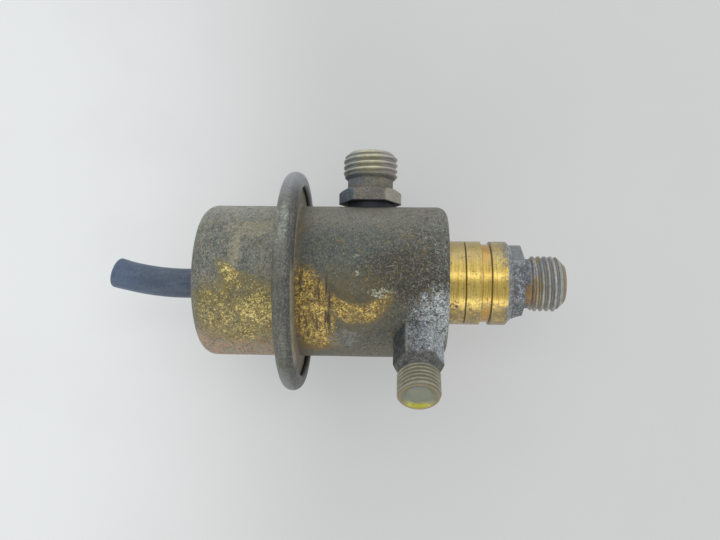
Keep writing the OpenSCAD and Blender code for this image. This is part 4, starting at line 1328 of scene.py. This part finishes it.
# %% [markdown]
# ## Clean metal inside
#
# Nothing inside has aged much. Pressed pieces are dull, plated ones yellow, spring wire is drawn and a
# little darker, and the lapped plate, ball and seat are bright. One function with two close tints serves
# them all.

# %% Inner finishes
def clean_finish(name, colour, tint, rough, depth):
    """Clean metal: two close tints in clouds, and a fine grain."""
    clean = Coated(name, colour, rough, 1.0)
    clean.coat(clean.noise(3.0, 3).ramp(0.35, 0.65), tint, rough + 0.08)
    clean.relief = clean.noise(0.3, 2)
    return clean.done(depth)


finishes["inner_steel"] = clean_finish(
    "pressed_steel", shade(190, 190, 188), shade(176, 176, 172), 0.34, 0.01)
finishes["inner_plated"] = clean_finish(
    "clean_plating", shade(208, 190, 128), shade(196, 172, 104), 0.32, 0.01)
finishes["spring_steel"] = clean_finish(
    "spring_wire", shade(158, 162, 166), shade(140, 144, 150), 0.3, 0.008)
finishes["polished_steel"] = clean_finish(
    "lapped_steel", shade(212, 214, 216), shade(204, 206, 208), 0.12, 0.002)

# %% [markdown]
# ## Finishes on the pieces
#
# The record names a slot for each solid, and each new piece carries the slot of the solid that it
# replaces. So one table from slot to finish serves both. Setting materials one by one would be easy to
# get wrong.

# %% Put the finishes on
slots = {frame["nodes"][row["node"]]: row["material_slot"] for row in frame["record"]["subparts"]}
slots.update({piece: piece["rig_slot"] for piece in pieces})
for item, slot in slots.items():
    item.data.materials.clear()
    item.data.materials.append(finishes[slot])
print(f"{len(finishes)} finishes on {len(slots)} pieces")

# %% [markdown]
# ## Table
#
# The part lies on a pale table, which is painted paler in a wide pool of light on the left, as painted
# light. A white background could be had with more light, but that would bleach the part as well. So the
# table has a weak glow that only the camera, mirrors and glass see. It lights nothing, and the part's
# shadow stays on it.

# %% Table
TABLE_HALF = 3.0
POOL_X = -100.0
POOL_HALF_X, POOL_HALF_Y = 120.0, 200.0
GLOW = 0.29
table_z = cad_box[0].z
table_mesh = bpy.data.meshes.new("table")
table_mesh.from_pydata([(-TABLE_HALF, -TABLE_HALF, table_z), (TABLE_HALF, -TABLE_HALF, table_z),
                        (TABLE_HALF, TABLE_HALF, table_z), (-TABLE_HALF, TABLE_HALF, table_z)],
                       [], [(0, 1, 2, 3)])
table = bpy.data.objects.new("table", table_mesh)
bpy.context.scene.collection.objects.link(table)
top = Coated("table_top", shade(168, 169, 167), 0.8, 0.0)
off_x = top.x - POOL_X
# painted light: a wide pale pool on the left
painted_light_pool = 1 - off_x * off_x / POOL_HALF_X ** 2 - top.y * top.y / POOL_HALF_Y ** 2
top.coat(painted_light_pool.ramp(-0.2, 1.0), shade(206, 208, 207))
top.coat(top.noise(40.0, 3.0).ramp(0.4, 0.65) * 0.15, shade(178, 179, 176))
top.relief = top.noise(2.0, 2.0)
ray = top.node("ShaderNodeLightPath", output="Is Camera Ray")
seen = ray | ray.also("Is Glossy Ray") | ray.also("Is Transmission Ray")
glow = top.mix(seen, (0.0, 0.0, 0.0), (GLOW, GLOW, GLOW))
table_mesh.materials.append(top.done(0.01, **{"Emission Color": glow, "Emission Strength": 1.0,
                                              "Specular IOR Level": 0.0}))

# %% [markdown]
# ## Room
#
# Metal shows what is round it, so an even world makes it look flat. The world here is a room that is
# lighter towards the back and darker overhead. A picture of a real room would do the same, but would need
# a file.

# %% Room
ROOM_LEVEL = 1.02
BACK_MORE = 0.4
TOP_LESS = 0.54
scene = bpy.context.scene
scene.world = bpy.data.worlds.new("room")
room = Nodes(scene.world)
towards = room.node("ShaderNodeTexCoord", output="Generated")
back_way = room.node("ShaderNodeSeparateXYZ", inputs={0: towards}, output="Y")
up_way = back_way.also("Z")
level = ROOM_LEVEL + BACK_MORE * back_way.ramp(0, 1) - TOP_LESS * up_way.ramp(0, 1)
sky = room.node("ShaderNodeBackground", inputs={"Color": (0.94, 0.97, 1.0), "Strength": level})
room.node("ShaderNodeOutputWorld", inputs={"Surface": sky})
print(f"room: {ROOM_LEVEL} at the horizon, {ROOM_LEVEL - TOP_LESS:.2f} overhead")

# %% [markdown]
# ## Lamps
#
# Two wide soft lamps lay the long highlights on the round walls: one overhead and a little behind, one
# low in front. Point lamps would give hard spots. The levels of lamps and room add up so that a colour
# renders about as it is written.

# %% Lamps
LAMP_AWAY = 0.75
LAMP_WIDTH, LAMP_LENGTH = 0.22, 0.9
LAMP_WATTS = 0.8
WARM = (1.0, 0.98, 0.95)
part_middle = Vector((0.025, 0.0, 0.0))


def soft_lamp(name, way):
    """Long rectangular lamp that looks at the part from a direction, its length along x."""
    way = Vector(way).normalized()
    light = bpy.data.lights.new(name, "AREA")
    light.shape = "RECTANGLE"
    light.size, light.size_y = LAMP_LENGTH, LAMP_WIDTH
    light.energy = LAMP_WATTS
    light.color = WARM
    lamp = bpy.data.objects.new(name, light)
    up = way.cross((1.0, 0.0, 0.0)).normalized()
    turn = Matrix((up.cross(way), up, way)).transposed().to_4x4()
    lamp.matrix_world = Matrix.Translation(part_middle + way * LAMP_AWAY) @ turn
    scene.collection.objects.link(lamp)
    print(f"{name} lamp: {LAMP_WATTS} W, {LAMP_AWAY} m away")


soft_lamp("overhead", (0.0, 0.26, 0.97))
soft_lamp("front", (0.0, -0.87, 0.48))

# %% [markdown]
# ## Camera
#
# The photo was taken from almost straight above with a normal lens. The eye and the point it looks at
# were found by fitting the part's outline to the photo. A Track To constraint could aim the camera, but
# here its axes come from those two points and a hint for up, so that nothing is left to be solved later.

# %% Camera
eye = Vector((36.49, -17.80, 197.44)) * MM
aim = Vector((27.63, 2.95, 0.0)) * MM
up_hint = Vector((-0.0169, 1.0, 0.0))
back = (eye - aim).normalized()
right = up_hint.cross(back).normalized()
lens = bpy.data.cameras.new("camera")
lens.lens = 39.0
lens.sensor_width = 36.0
lens.clip_start, lens.clip_end = 0.01, 20.0
camera = bpy.data.objects.new("camera", lens)
turn = Matrix((right, back.cross(right), back)).transposed().to_4x4()
camera.matrix_world = Matrix.Translation(eye) @ turn
scene.collection.objects.link(camera)
scene.camera = camera
scene.view_settings.view_transform = "Standard"
print(f"camera: {(eye - aim).length / MM:.1f} mm from the part")
